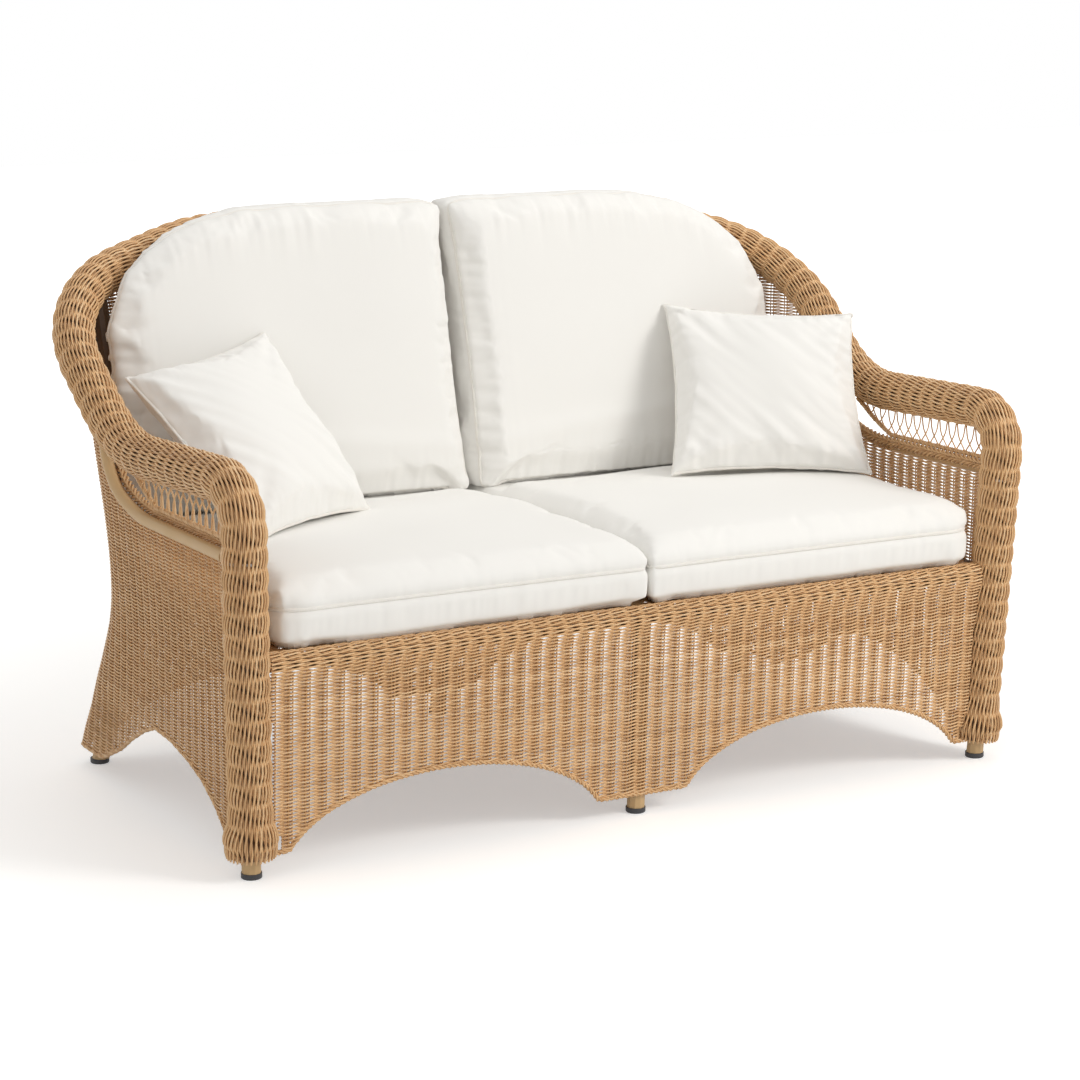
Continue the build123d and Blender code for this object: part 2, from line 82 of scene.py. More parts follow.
# Arch under each side and upper edge of the side skin: depth and height
side_arch = ((0.062, 0.02), (0.073, 0.042), (0.120, 0.084), (0.170, 0.112), (0.228, 0.132), (0.295, 0.146),
             (0.365, 0.151), (0.420, 0.133), (0.477, 0.105), (0.530, 0.075), (0.590, 0.050), (0.640, 0.030))
band_line = ((0.0, 0.504), (0.30, 0.504), (0.402, 0.518), (0.45, 0.533), (0.475, 0.552), (0.488, 0.58),
             (0.497, 0.64))
# Arches under the apron and the back
arch_centre, arch_half_width, arch_rise = 0.357, 0.285, 0.135
hem_height = 0.037
# Where the skins of the back and the sides meet
split_half_width = 0.480
# Depth of the apron's face at the floor and how it leans forward with height
apron_face, apron_lean = -0.0116, 0.055
# Where the back cushions stand, and the deck under the seat cushions
seat_top, deck_top = 0.450, 0.3528

# Where the arches of the back and the sides may cut in, and how far the weave keeps from what borders it
back_from, side_from = 0.60, 0.60
band_room, roll_room, post_room = 0.004, 0.027, 0.031

# Pairs of stakes stand a number of cells of the weave apart
stake_cells, stake_half_gap, stake_radius = 4, 0.0030, 0.0013

# Cuts across a cushion's block, and the frames and cloth with which its cover is swelled
form_cuts, fill_frames = 14, 20
cover_cloth = {"quality": 4, "mass": 0.35, "tension_stiffness": 14, "compression_stiffness": 14,
               "shear_stiffness": 6, "bending_stiffness": 0.6, "use_pressure": True}

# Seam grooves and puckers of the cushions, and how they lie on what carries them
groove_depth, groove_width, pucker = 0.0050, 0.0075, 0.0022
rest_gap, middle_gap, lie_depth = 0.0004, 0.0009, 0.006


def at(x, y, z):
    """A place given from the line of the front feet, in the shared frame."""
    return Vector((x, y + feet_line, z))


class LoveseatSizes(bpy.types.PropertyGroup):
    """Sizes of the weave and the cushions."""

    cane: FloatProperty(name="Cane", description="Radius of a weaving cane", default=0.0015,
                        subtype="DISTANCE", unit="LENGTH")
    roll_cane: FloatProperty(name="Roll cane", description="Radius of a cane in the rolls", default=0.0019,
                             subtype="DISTANCE", unit="LENGTH")
    row_pitch: FloatProperty(name="Row pitch", description="Height of a twined row", default=0.0057,
                             subtype="DISTANCE", unit="LENGTH")
    stake_pitch: FloatProperty(name="Stake pitch", description="Distance between stake pairs", default=0.0286,
                               subtype="DISTANCE", unit="LENGTH")
    ring_pitch: FloatProperty(name="Ring pitch", description="Distance between pinches along the roll",
                              default=0.0335, subtype="DISTANCE", unit="LENGTH")
    roll_rows: IntProperty(name="Rows round the roll", description="Twined rows round the roll", default=32)
    piping: FloatProperty(name="Piping", description="Radius of the piping cord", default=0.0033,
                          subtype="DISTANCE", unit="LENGTH")
    pressure: FloatProperty(name="Filling pressure", description="Pressure that swells a cushion",
                            default=4.0)


class LoveseatColours(bpy.types.PropertyGroup):
    """Colours of the finishes."""

    cane: FloatVectorProperty(name="Cane", description="Honey tan cane", default=(0.78, 0.49, 0.24),
                              subtype="COLOR", size=3)
    cane_dark: FloatVectorProperty(name="Dark cane", description="Darker streaks in the cane",
                                   default=(0.40, 0.20, 0.085), subtype="COLOR", size=3)
    cane_light: FloatVectorProperty(name="Light cane", description="Paler streaks in the cane",
                                    default=(0.92, 0.69, 0.43), subtype="COLOR", size=3)
    tube: FloatVectorProperty(name="Tube coat", description="Tan coat on the frame",
                              default=(0.62, 0.42, 0.21), subtype="COLOR", size=3)
    cloth: FloatVectorProperty(name="Cloth", description="Warm white cloth", default=(0.88, 0.868, 0.845),
                               subtype="COLOR", size=3)
    piping: FloatVectorProperty(name="Piping", description="Cord sewn into the seams",
                                default=(0.87, 0.845, 0.80), subtype="COLOR", size=3)
    # Painted shade: the frame is tan all over, and this dark brown stands in for the shade on the tubes
    # inside the weave.
    painted_tube_shade: FloatVectorProperty(name="Hidden frame", description="Brown coat on the tubes inside the weave",
                                default=(0.105, 0.058, 0.027), subtype="COLOR", size=3)
    glide: FloatVectorProperty(name="Glide", description="Dark foot glide", default=(0.045, 0.045, 0.05),
                               subtype="COLOR", size=3)


def feed(tree, node, values):
    """Gives a node's inputs a socket's output or a plain value each."""
    for label, value in values.items():
        if isinstance(value, bpy.types.NodeSocket):
            tree.links.new(value, node.inputs[label])
        else:
            node.inputs[label].default_value = value


def added(tree, kind, values=None):
    """A new shader node with its inputs fed."""
    node = tree.nodes.new("ShaderNode" + kind)
    feed(tree, node, values or {})
    return node


def maths(tree, operation, first, second):
    """The outcome of one operation on two values."""
    node = added(tree, "Math", {0: first, 1: second})
    node.operation = operation
    return node.outputs[0]


def new_group(name, *labels):
    """A node group that takes the named colours and gives a colour, a roughness and a height."""
    group = bpy.data.node_groups.new(name, "ShaderNodeTree")
    for label in labels:
        group.interface.new_socket(label, in_out="INPUT", socket_type="NodeSocketColor")
    for label, kind in (("Color", "Color"), ("Roughness", "Float"), ("Height", "Float")):
        group.interface.new_socket(label, in_out="OUTPUT", socket_type="NodeSocket" + kind)
    return group, group.nodes.new("NodeGroupInput"), group.nodes.new("NodeGroupOutput")


def mixer(tree, mode, factor, first, second):
    """A colour mix; sockets or plain values go in."""
    node = tree.nodes.new("ShaderNodeMix")
    node.data_type = "RGBA"
    node.blend_type = mode
    feed(tree, node, {0: factor, 6: first, 7: second})
    return node.outputs[2]


def ramped(tree, value, low, high, to_low=0.0, to_high=1.0):
    """A value moved from one span to another, and held inside it."""
    values = {"Value": value, "From Min": low, "From Max": high, "To Min": to_low, "To Max": to_high}
    return added(tree, "MapRange", values).outputs["Result"]


def noise_value(tree, scale, detail=2.0, stretch=(1, 1, 1)):
    """Noise on the piece's own Object coordinates."""
    place = added(tree, "TexCoord").outputs["Object"]
    mapping = added(tree, "Mapping", {"Vector": place, "Scale": stretch})
    values = {"Vector": mapping.outputs["Vector"], "Scale": scale, "Detail": detail}
    return added(tree, "TexNoise", values).outputs["Fac"]


def grain_group():
    """Streaks of darker and paler cane, from strand to strand and along each one."""
    group, into, out = new_group("cane_grain", "Base", "Dark", "Light")
    tone = added(group, "Attribute")
    tone.attribute_name = "tone"
    broad = noise_value(group, 9.0, 2.0)
    mottle = noise_value(group, 160.0, 3.0)
    fine = noise_value(group, 900.0, 2.0)
    colour = into.outputs["Base"]
    for value, start, end, most, label in (
        (tone.outputs["Fac"], 0.40, 0.0, 0.42, "Dark"),
        (tone.outputs["Fac"], 0.58, 1.0, 0.42, "Light"),
        (mottle, 0.54, 0.80, 0.28, "Dark"),
        (mottle, 0.46, 0.25, 0.28, "Light"),
    ):
        streak = ramped(group, value, start, end, 0.0, most)
        colour = mixer(group, "MIX", streak, colour, into.outputs[label])
    faded = ramped(group, broad, 0.35, 0.65, 0.0, 0.35)
    colour = mixer(group, "MULTIPLY", faded, colour, (0.86, 0.80, 0.72, 1))
    roughness = ramped(group, mottle, 0.3, 0.7, 0.36, 0.56)
    feed(group, out, {"Color": colour, "Roughness": roughness, "Height": fine})
    return group


def cloth_group():
    """Plain woven cloth: fine threads along each axis, slubs and a faint unevenness."""
    group, into, out = new_group("woven_cloth", "Base")
    fine, long = 700, 40
    height = noise_value(group, 1.0, 1.0, (fine, fine, long))
    for stretch in ((long, fine, fine), (fine, long, fine)):
        height = maths(group, "ADD", height, noise_value(group, 1.0, 1.0, stretch))
    slub = noise_value(group, 42.0, 4.0, (1, 1, 6))
    soft = noise_value(group, 6.0, 2.0)
    colour = into.outputs["Base"]
    for value, start, end, tint in (
        (slub, 0.5, 0.75, (0.94, 0.925, 0.90, 1)),
        (soft, 0.4, 0.7, (0.97, 0.955, 0.93, 1)),
    ):
        colour = mixer(group, "MULTIPLY", ramped(group, value, start, end, 0.0, 0.5), colour, tint)
    roughness = ramped(group, slub, 0.3, 0.7, 0.78, 0.92)
    feed(group, out, {"Color": colour, "Roughness": roughness, "Height": height})
    return group


def coat_group():
    """Powder coat or moulded plastic: fine orange peel, rubbed patches and another colour above the feet,
    which on the tubes inside the weave is painted shade.
    """
    group, into, out = new_group("coated_surface", "Base", "Worn", "Upper")
    peel = noise_value(group, 520.0, 2.0)
    patch = noise_value(group, 14.0, 4.0)
    rubbed = ramped(group, patch, 0.5, 0.8, 0.0, 0.6)
    colour = mixer(group, "MIX", rubbed, into.outputs["Base"], into.outputs["Worn"])
    # Above the feet the Upper colour takes over; for the tubes inside the weave it is painted shade.
    split = added(group, "SeparateXYZ", {0: added(group, "TexCoord").outputs["Object"]})
    above = ramped(group, split.outputs["Z"], 0.05, 0.09)
    colour = mixer(group, "MIX", above, colour, into.outputs["Upper"])
    roughness = ramped(group, patch, 0.3, 0.7, 0.42, 0.6)
    feed(group, out, {"Color": colour, "Roughness": roughness, "Height": peel})
    return group


def finish(name, group, colours, bump, distance, metallic=0.0, sheen=0.0):
    """A material that takes its colour, roughness and relief from a shared group."""
    material = bpy.data.materials.new(name)
    material.use_nodes = True
    tree = material.node_tree
    effect = tree.nodes.new("ShaderNodeGroup")
    effect.node_tree = group
    feed(tree, effect, colours)
    relief = added(tree, "Bump", {"Strength": bump, "Distance": distance, "Height": effect.outputs["Height"]})
    feed(tree, tree.nodes["Principled BSDF"], {
        "Metallic": metallic, "Sheen Weight": sheen, "Sheen Roughness": 0.5,
        "Base Color": effect.outputs["Color"], "Roughness": effect.outputs["Roughness"],
        "Normal": relief.outputs["Normal"],
    })
    return material


def shade(colour, by=1.0):
    """A colour with its alpha, made darker or lighter."""
    return (colour[0] * by, colour[1] * by, colour[2] * by, 1)


# Lines

def rounded_line(corners, bends, step):
    """Even points on straight runs joined by tangent arcs."""
    marks = [corners[0].copy()]
    for before, corner, after, bend in zip(corners, corners[1:], corners[2:], bends):
        back, ahead = (before - corner).normalized(), (after - corner).normalized()
        turn = pi - back.angle(ahead)
        if turn < 0.001 or bend == 0:
            marks.append(corner.copy())
            continue
        centre = corner + (back + ahead).normalized() * bend / cos(turn / 2)
        spoke = corner + back * bend * tan(turn / 2) - centre
        axis = spoke.cross(corner + ahead * bend * tan(turn / 2) - centre).normalized()
        count = max(3, ceil(bend * turn / step))
        marks += [centre + Quaternion(axis, turn * k / count) @ spoke for k in range(count + 1)]
    marks.append(corners[-1].copy())
    return even_points(marks, step)


def even_points(marks, step):
    """The same line with its points the same distance apart."""
    total = sum((b - a).length for a, b in zip(marks, marks[1:]))
    count = max(1, round(total / step))
    gap = total / count
    points, need, k = [marks[0].copy()], gap, 0
    here = marks[0]
    while len(points) < count and k + 1 < len(marks):
        run = (marks[k + 1] - here).length
        if run >= need:
            here = here + (marks[k + 1] - here) * (need / run)
            points.append(here.copy())
            need = gap
        else:
            need -= run
            k += 1
            here = marks[k]
    points.append(marks[-1].copy())
    return points


def framed(points, up=Vector((0, 0, 1))):
    """Each point with the line's direction there and two directions across it."""
    out, side = [], None
    for k, point in enumerate(points):
        ahead = (points[min(k + 1, len(points) - 1)] - points[max(k - 1, 0)]).normalized()
        if side is None:
            side = ahead.cross(up)
            if side.length < 0.1:
                side = ahead.cross(Vector((0, 1, 0)))
        side = (side - ahead * side.dot(ahead)).normalized()
        out.append((point, ahead, side, ahead.cross(side).normalized()))
    return out


def between(table, value):
    """The second column of a table of pairs, at a value of the first."""
    if value <= table[0][0]:
        return table[0][1]
    for (a, b), (c, d) in zip(table, table[1:]):
        if value <= c:
            return b + (d - b) * (value - a) / (c - a)
    return table[-1][1]


def link_piece(name, data):
    """A new object in the scene."""
    piece = bpy.data.objects.new(name, data)
    bpy.context.collection.objects.link(piece)
    return piece


def mesh_of(form, name):
    """A mesh with the faces of a form, which is freed."""
    mesh = bpy.data.meshes.new(name)
    form.to_mesh(mesh)
    form.free()
    return mesh


def smoothed(mesh):
    """The mesh with all its faces shaded smooth."""
    mesh.polygons.foreach_set("use_smooth", [True] * len(mesh.polygons))
    return mesh


def tube_piece(name, runs, radius, resolution, closed=False):
    """Round canes or cords along the given runs, as one piece."""
    curve = bpy.data.curves.new(name, "CURVE")
    curve.dimensions = "3D"
    curve.bevel_depth = radius
    curve.bevel_resolution = resolution
    curve.use_fill_caps = not closed
    for run in runs:
        spline = curve.splines.new("POLY")
        spline.points.add(len(run) - 1)
        flat = []
        for point in run:
            flat += (point.x, point.y, point.z, 1.0)
        spline.points.foreach_set("co", flat)
        spline.use_cyclic_u = closed
    holder = link_piece(name + "_line", curve)
    bpy.context.view_layer.update()
    mesh = bpy.data.meshes.new_from_object(holder)
    bpy.data.objects.remove(holder)
    bpy.data.curves.remove(curve)
    mesh.name = name
    return link_piece(name, smoothed(mesh))


def declared(piece, look, body, nodes):
    """The piece with its finish, on its body, standing for the named nodes if there are any."""
    piece.data.materials.clear()
    piece.data.materials.append(bpy.data.materials[look])
    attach(piece, body)
    if nodes:
        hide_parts(*nodes)
    return piece


def cane_piece(name, runs, radius, nodes=(), resolution=0, seed=1, tones=None, look="cane"):
    """Canes or bent tubes of the frame along the given runs, as one piece, each run with its own tone."""
    piece = tube_piece(name, runs, radius, resolution)
    random = Random(seed)
    ring = 4 + 2 * resolution
    values = []
    for k, run in enumerate(runs):
        tone = tones[k] if tones else random.random()
        values += [tone] * (len(run) * ring)
    count = len(piece.data.vertices)
    values = (values + [0.5] * count)[:count]
    layer = piece.data.attributes.new("tone", "FLOAT", "POINT")
    layer.data.foreach_set("value", values)
    return declared(piece, look, "frame", nodes)


# The roll

def roll_line(step):
    """The roll's centre line from the right front foot, over the back, to the left one."""
    right = [at(*corner) for corner in roll_corners]
    left = [Vector((-p.x, p.y, p.z)) for p in reversed(right)]
    bends = roll_bends + tuple(reversed(roll_bends))
    return rounded_line(right + left, bends, step)


def roll_spans(points):
    """Where along the roll the arms end and the back begins."""
    elbow, shoulder = at(*roll_corners[2]), at(*roll_corners[3])
    joint = elbow + (shoulder - elbow) * roll_joint_share
    first = min(range(len(points)), key=lambda k: (points[k] - joint).length)
    return first, len(points) - 1 - first


def roll_radius(height, k, first, last):
    """Radius of the roll, with the bell at each front foot."""
    if first <= k <= last:
        return roll_outer_radius
    return between(bell_levels, height)


def roll_strands(sizes, span, points, marks, joints):
    """Twined rows that run along the roll and pinch at its rings."""
    runs, tones = [], []
    random = Random(11)
    swing, twist, strand_depth = 0.0030, 0.00175, 0.0038
    step = (points[1] - points[0]).length
    for row in range(sizes.roll_rows):
        around = 2 * pi * row / sizes.roll_rows
        for sign in (1, -1):
            run = []
            for k in span:
                point, ahead, side, up = marks[k]
                phase = pi * (k * step / sizes.ring_pitch)
                mean = roll_radius(point.z, k, *joints) - strand_depth
                radius = mean + sign * swing * cos(phase)
                angle = around + sign * twist * sin(phase) / mean
                run.append(point + (side * cos(angle) + up * sin(angle)) * radius)
            runs.append(run)
            tones.append(random.random())
    return runs, tones


# The skin of the sides and back

def skin_section(height):
    """Half width, depth and corner radius of the skin at a height, on a smooth curve through the levels."""
    last = len(skin_levels) - 1
    k = max(n for n in range(last) if n == 0 or height >= skin_levels[n][0])
    low, high = skin_levels[k], skin_levels[k + 1]
    before, after = skin_levels[max(0, k - 1)], skin_levels[min(last, k + 2)]
    run = high[0] - low[0]
    share = (height - low[0]) / run
    values = []
    for column in (1, 2, 3):
        start = (high[column] - before[column]) / (high[0] - before[0]) * run
        end = (after[column] - low[column]) / (after[0] - low[0]) * run
        rise = high[column] - low[column]
        values.append(low[column] + start * share + (3 * rise - 2 * start - end) * share ** 2
                      + (start + end - 2 * rise) * share ** 3)
    return values


def skin_at(around, height):
    """Place and outward direction on the skin; around runs from the back's middle, right positive."""
    half, depth, corner = skin_section(height)
    side_run = depth - corner - front_extent
    total = (half - corner) + corner * pi / 2 + side_run
    reach = abs(around) / stake_round * total
    sign = 1 if around >= 0 else -1
    if reach < half - corner:
        return Vector((sign * reach, depth, height)), Vector((0, 1, 0))
    reach -= half - corner
    if reach < corner * pi / 2:
        turn = reach / corner
        out = Vector((sign * sin(turn), cos(turn), 0))
        centre = Vector((sign * (half - corner), depth - corner, height))
        return centre + out * corner, out
    reach -= corner * pi / 2
    return Vector((sign * half, depth - corner - reach, height)), Vector((sign, 0, 0))


def post_depth(height):
    """Depth of the middle of the front posts at a height."""
    return post_lean * (height - post_foot) / post_rise


def twine(strands, place, out, up, phase, swing, twist):
    """Adds a point to each of a row's two strands, on opposite sides of the stakes."""
    for sign, strand in zip((1, -1), strands):
        strand.append(at(*(place + out * (sign * swing * cos(phase)) + up * (sign * twist * sin(phase)))))


def stored(strands, pair_tones, runs, tones):
    """Puts a pair of strands with the finished ones, if they are long enough, and gives an empty pair."""
    for strand, tone in zip(strands, pair_tones):
        if len(strand) > 1:
            runs.append(strand)
            tones.append(tone)
    return [], []


def skin_floor(place):
    """Lowest point of the weave at a place on the skin: the hem or an arch."""
    x, y = abs(place.x), place.y
    low = hem_height
    if y > back_from and abs(x - arch_centre) < arch_half_width:
        low = max(low, arch_rise * sqrt(1 - ((x - arch_centre) / arch_half_width) ** 2))
    if x > side_from and side_arch[0][0] < y < side_arch[-1][0]:
        low = max(low, between(side_arch, y))
    return low


def skin_roofs(cells, cell):
    """Highest point of the weave at each mark round the skin: under the arm's band, then under the roll."""
    line = [Vector((p.x, p.y - feet_line, p.z)) for p in roll_line(0.02)]
    line = [p for p in line if p.x >= 0 and p.y > 0.30]
    middle_height = 0.6
    roofs = []
    for k in range(cells + 1):
        around = k * cell
        place, out = skin_at(around, middle_height)
        if place.y < band_line[-1][0]:
            roofs.append(between(band_line, place.y) - band_room)
            continue
        best = (9, middle_height)
        for level in range(60, 93):
            place, out = skin_at(around, level / 100)
            for p in line:
                gap = (p - place).length
                if gap < best[0]:
                    best = (gap, p.z)
        roofs.append(best[1] - roll_room)
    return roofs


class Skin:
    """Rows, stakes and hem of the woven skin round the sides and back."""

    def __init__(self, sizes):
        self.sizes = sizes
        self.cell = sizes.stake_pitch / stake_cells
        self.cells = int(stake_round / self.cell)
        self.roofs = skin_roofs(self.cells, self.cell)

    def clear_of_post(self, place):
        """Whether a place is behind the front post's roll."""
        return place.y > post_depth(place.z) + post_room

    def holds(self, k, place):
        """Whether the weave covers a mark at a place."""
        return skin_floor(place) <= place.z <= self.roofs[abs(k)] and self.clear_of_post(place)

    def rows(self, first, last, keep):
        """Twined rows between two marks, where the weave is."""
        runs, tones = [], []
        random = Random(first * 7 + last)
        swing, twist, up = 0.0029, 0.00142, Vector((0, 0, 1))
        height = hem_height + 0.002
        while height < 0.90:
            strands = ([], [])
            pair_tones = (random.random(), random.random())
            for k in range(first, last + 1):
                around = k * self.cell
                place, out = skin_at(around, height)
                if self.holds(k, place) and keep(place):
                    twine(strands, place, out, up, pi * around / self.sizes.stake_pitch, swing, twist)
                else:
                    strands = stored(strands, pair_tones, runs, tones)
            stored(strands, pair_tones, runs, tones)
            height += self.sizes.row_pitch
        return runs, tones

    def stakes(self, first, last, keep):
        """Pairs of upright stakes that the rows twine round."""
        runs = []
        for k in range(first, last + 1):
            if k % stake_cells:
                continue
            for offset in (-stake_half_gap, stake_half_gap):
                run = []
                height = 0.03
                while height < 0.92:
                    place, out = skin_at(k * self.cell + offset, height)
                    if self.holds(k, place) and keep(place):
                        run.append(at(*place))
                    elif len(run) > 1:
                        break
                    height += 0.02
                if len(run) > 1:
                    runs.append(run)
        return runs

    def hem(self, first, last, keep):
        """Line along the weave's lower edge."""
        line = []
        for k in range(first, last + 1):
            place, out = skin_at(k * self.cell, 0.3)
            for turn in range(3):
                place, out = skin_at(k * self.cell, skin_floor(place))
            if keep(place) and self.clear_of_post(place):
                line.append(at(*place))
        return line


def cord_strands(points, radius, strands, pitch):
    """Canes twisted round a line like a rope."""
    marks = framed(points)
    step = (points[1] - points[0]).length
    runs = []
    for index in range(strands):
        run = []
        for k, (point, ahead, side, up) in enumerate(marks):
            angle = 2 * pi * (index / strands + k * step / pitch)
            run.append(point + side * cos(angle) * radius + up * sin(angle) * radius)
        runs.append(run)
    return runs + [[mark[0] for mark in marks]]


# Soft pieces

def block_form(name, shape):
    """A closed block whose points are put in place by a shape function."""
    form = bmesh.new()
    bmesh.ops.create_cube(form, size=1.0)
    bmesh.ops.subdivide_edges(form, edges=form.edges[:], cuts=form_cuts, use_grid_fill=True)
    for vertex in form.verts:
        vertex.co = shape(*vertex.co)
    bmesh.ops.recalc_face_normals(form, faces=form.faces[:])
    return link_piece(name, mesh_of(form, name))


def applied(piece):
    """The piece with all its modifiers made part of its mesh."""
    bpy.context.view_layer.update()
    graph = bpy.context.evaluated_depsgraph_get()
    mesh = bpy.data.meshes.new_from_object(piece.evaluated_get(graph), depsgraph=graph)
    piece.modifiers.clear()
    old = piece.data
    piece.data = mesh
    bpy.data.meshes.remove(old)
    return piece


def swollen(piece, voxel, pressure, most):
    """The piece filled: remeshed, blown up by a cloth pressure and held near its form."""
    remesh = piece.modifiers.new("even", "REMESH")
    remesh.mode = "VOXEL"
    remesh.voxel_size = voxel
    applied(piece)
    soften = piece.modifiers.new("soften", "SMOOTH")
    soften.factor = 0.5
    soften.iterations = 4
    applied(piece)
    start = [v.co.copy() for v in piece.data.vertices]
    cloth = piece.modifiers.new("fill", "CLOTH")
    for label, value in cover_cloth.items():
        setattr(cloth.settings, label, value)
    cloth.settings.uniform_pressure_force = pressure
    cloth.settings.effector_weights.gravity = 0
    cloth.collision_settings.use_collision = False
    cloth.point_cache.frame_start = 1
    cloth.point_cache.frame_end = fill_frames
    for number in range(1, fill_frames + 1):
        bpy.context.scene.frame_set(number)
    graph = bpy.context.evaluated_depsgraph_get()
    mesh = piece.evaluated_get(graph).to_mesh()
    moved = [v.co.copy() for v in mesh.vertices]
    piece.modifiers.clear()
    bpy.context.scene.frame_set(1)
    for vertex, before, after in zip(piece.data.vertices, start, moved):
        push = after - before
        if push.length > most:
            push = push.normalized() * most
        vertex.co = before + push
    return piece


def fitted(piece, low, high):
    """The piece stretched to its box again, where the filling drew its sides in."""
    mesh = piece.data
    for axis in range(3):
        if low[axis] is None:
            continue
        values = [v.co[axis] for v in mesh.vertices]
        least, span = min(values), max(values) - min(values)
        for vertex in mesh.vertices:
            vertex.co[axis] = low[axis] + (vertex.co[axis] - least) / span * (high[axis] - low[axis])
    return piece


def refined(piece, shape):
    """One subdivision, then each point moved by a shape function of place and normal."""
    finer = piece.modifiers.new("finer", "SUBSURF")
    finer.levels = finer.render_levels = 1
    applied(piece)
    mesh = piece.data
    normals = [v.normal.copy() for v in mesh.vertices]
    for vertex, out in zip(mesh.vertices, normals):
        vertex.co = shape(vertex.co, out)
    smoothed(mesh).update()
    return piece


def seam_loop(piece, point, direction):
    """The longest closed line where a plane cuts the piece."""
    form = bmesh.new()
    form.from_mesh(piece.data)
    cut = bmesh.ops.bisect_plane(form, geom=form.verts[:] + form.edges[:] + form.faces[:], plane_co=point,
                                 plane_no=direction, clear_inner=False, clear_outer=False)
    edges = [e for e in cut["geom_cut"] if isinstance(e, bmesh.types.BMEdge)]
    links = {}
    for edge in edges:
        a, b = edge.verts
        links.setdefault(a, []).append(b)
        links.setdefault(b, []).append(a)
    best = []
    seen = set()
    for start in links:
        if start in seen:
            continue
        loop, here = [start], start
        seen.add(start)
        while True:
            ahead = [v for v in links[here] if v not in seen]
            if not ahead:
                break
            here = ahead[0]
            seen.add(here)
            loop.append(here)
        if len(loop) > len(best):
            best = loop
    points = [v.co.copy() for v in best]
    form.free()
    return points


def smooth_loop(points, step):
    """A closed line made even and smooth."""
    points = even_points(points + [points[0]], step)[:-1]
    for turn in range(3):
        count = len(points)
        points = [(points[k - 1] + points[k] * 2 + points[(k + 1) % count]) / 4 for k in range(count)]
    return points


def piping(kind, word, points, radius, body):
    """A round cord along a cushion's closed seam."""
    cord = tube_piece(kind + "_piping_" + word, [points], radius, 2, closed=True)
    return declared(cord, "piping_cloth", body, ())


def dressed(piece, kind, inner, word, body):
    """A finished cushion: named, coloured, placed on its body and declared."""
    piece.name = kind + "_pad_" + word
    piece.data.name = piece.name
    nodes = [kind + "_cover_" + word, kind + "_" + inner + "_" + word]
    declared(piece, "cushion_cloth", body, nodes)
    return piece


def cushion_pair(kind, inner, right, detail, seeds, seam, cord_radius):
    """The right cushion and a left one, each with folds of its own, dressed and piped."""
    left = plain_copy(right, kind + "_form_left")
    refined(right, detail(seeds[0]))
    refined(left, detail(seeds[1]))
    turned = mirrored_copy(left, kind + "_form_turned")
    bpy.data.objects.remove(left)
    for piece, word in ((right, "right"), (turned, "left")):
        body = kind + "_cushion_" + word
        line = seam_loop(piece, *seam)
        dressed(piece, kind, inner, word, body)
        piping(kind, word, smooth_loop(line, 0.006), cord_radius, body)


def blend(start, end, value):
    """A smooth step from zero to one."""
    share = min(1, max(0, (value - start) / (end - start)))
    return share * share * (3 - 2 * share)


def across(low, high, value):
    """A number between two others, for a value from -0.5 to 0.5."""
    return low + (value + 0.5) * (high - low)


def rounding(size, share):
    """How far a rounded edge is drawn in, for a share of the way over it."""
    return size * (1 - sqrt(max(0, 1 - share * share)))


def laid(z, out, rest):
    """Height of a point whose piece lies flat on what is under it."""
    share = blend(0.5, 0.9, -out.z) if z < rest + lie_depth else 0
    return max(rest, z + (rest - z) * share)


def hill(distance, width):
    """A smooth bump, one at its middle."""
    return exp(-(distance / width) ** 2)


def ruffle(value, seed):
    """Uneven folds along a seam."""
    return noise.noise(Vector((value * 38, seed, 0))) + 0.6 * noise.noise(Vector((value * 85, seed, 3)))


# The right seat cushion; the left one mirrors it
seat_front, seat_rear, seat_inner, seat_outer = -0.031, 0.648, 0.0035, 0.652
seat_rear_corner, seat_front_corner = 0.165, 0.045
seat_seam, seat_flat_from, seat_flat_top = 0.416, 0.52, 0.4490
seat_highest, seat_widest = 0.4805, 0.667


def seat_plan(x, y):
    """Pulls a point of the seat's plan inside its rounded outer corners."""
    for centre_x, centre_y, ahead in (
        (seat_outer - seat_rear_corner, seat_rear - seat_rear_corner, 1),
        (seat_outer - seat_front_corner, seat_front + seat_front_corner, -1),
    ):
        if x > centre_x and (y - centre_y) * ahead > 0:
            away = Vector((x - centre_x, y - centre_y))
            square = max(abs(away.x), abs(away.y))
            if away.length > 0:
                away = away * (square / away.length)
            return centre_x + away.x, centre_y + away.y
    return x, y


def seat_crown(y):
    """Height of the seat cushion's top before it is filled."""
    share = (y - seat_front) / (seat_flat_from - seat_front)
    if share >= 1:
        return seat_flat_top
    return seat_flat_top + 0.0155 * sin(pi * share) - 0.002 * (1 - share)


def seat_shape(u, v, w):
    """A point of the right seat cushion's form."""
    x, y = seat_plan(across(seat_inner, seat_outer, u), across(seat_front, seat_rear, v))
    base = deck_top + 0.002
    top = seat_crown(y)
    z = across(base, top, w)
    rise = max(0, (z - seat_seam) / (top - seat_seam))
    fall = max(0, (seat_seam - z) / (seat_seam - base))
    inset = rounding(0.030, rise) + rounding(0.007, fall)
    x = min(max(x, seat_inner + inset * 0.8), seat_outer - inset)
    return at(x, min(max(y, seat_front + inset), seat_rear - inset * 0.4), z)


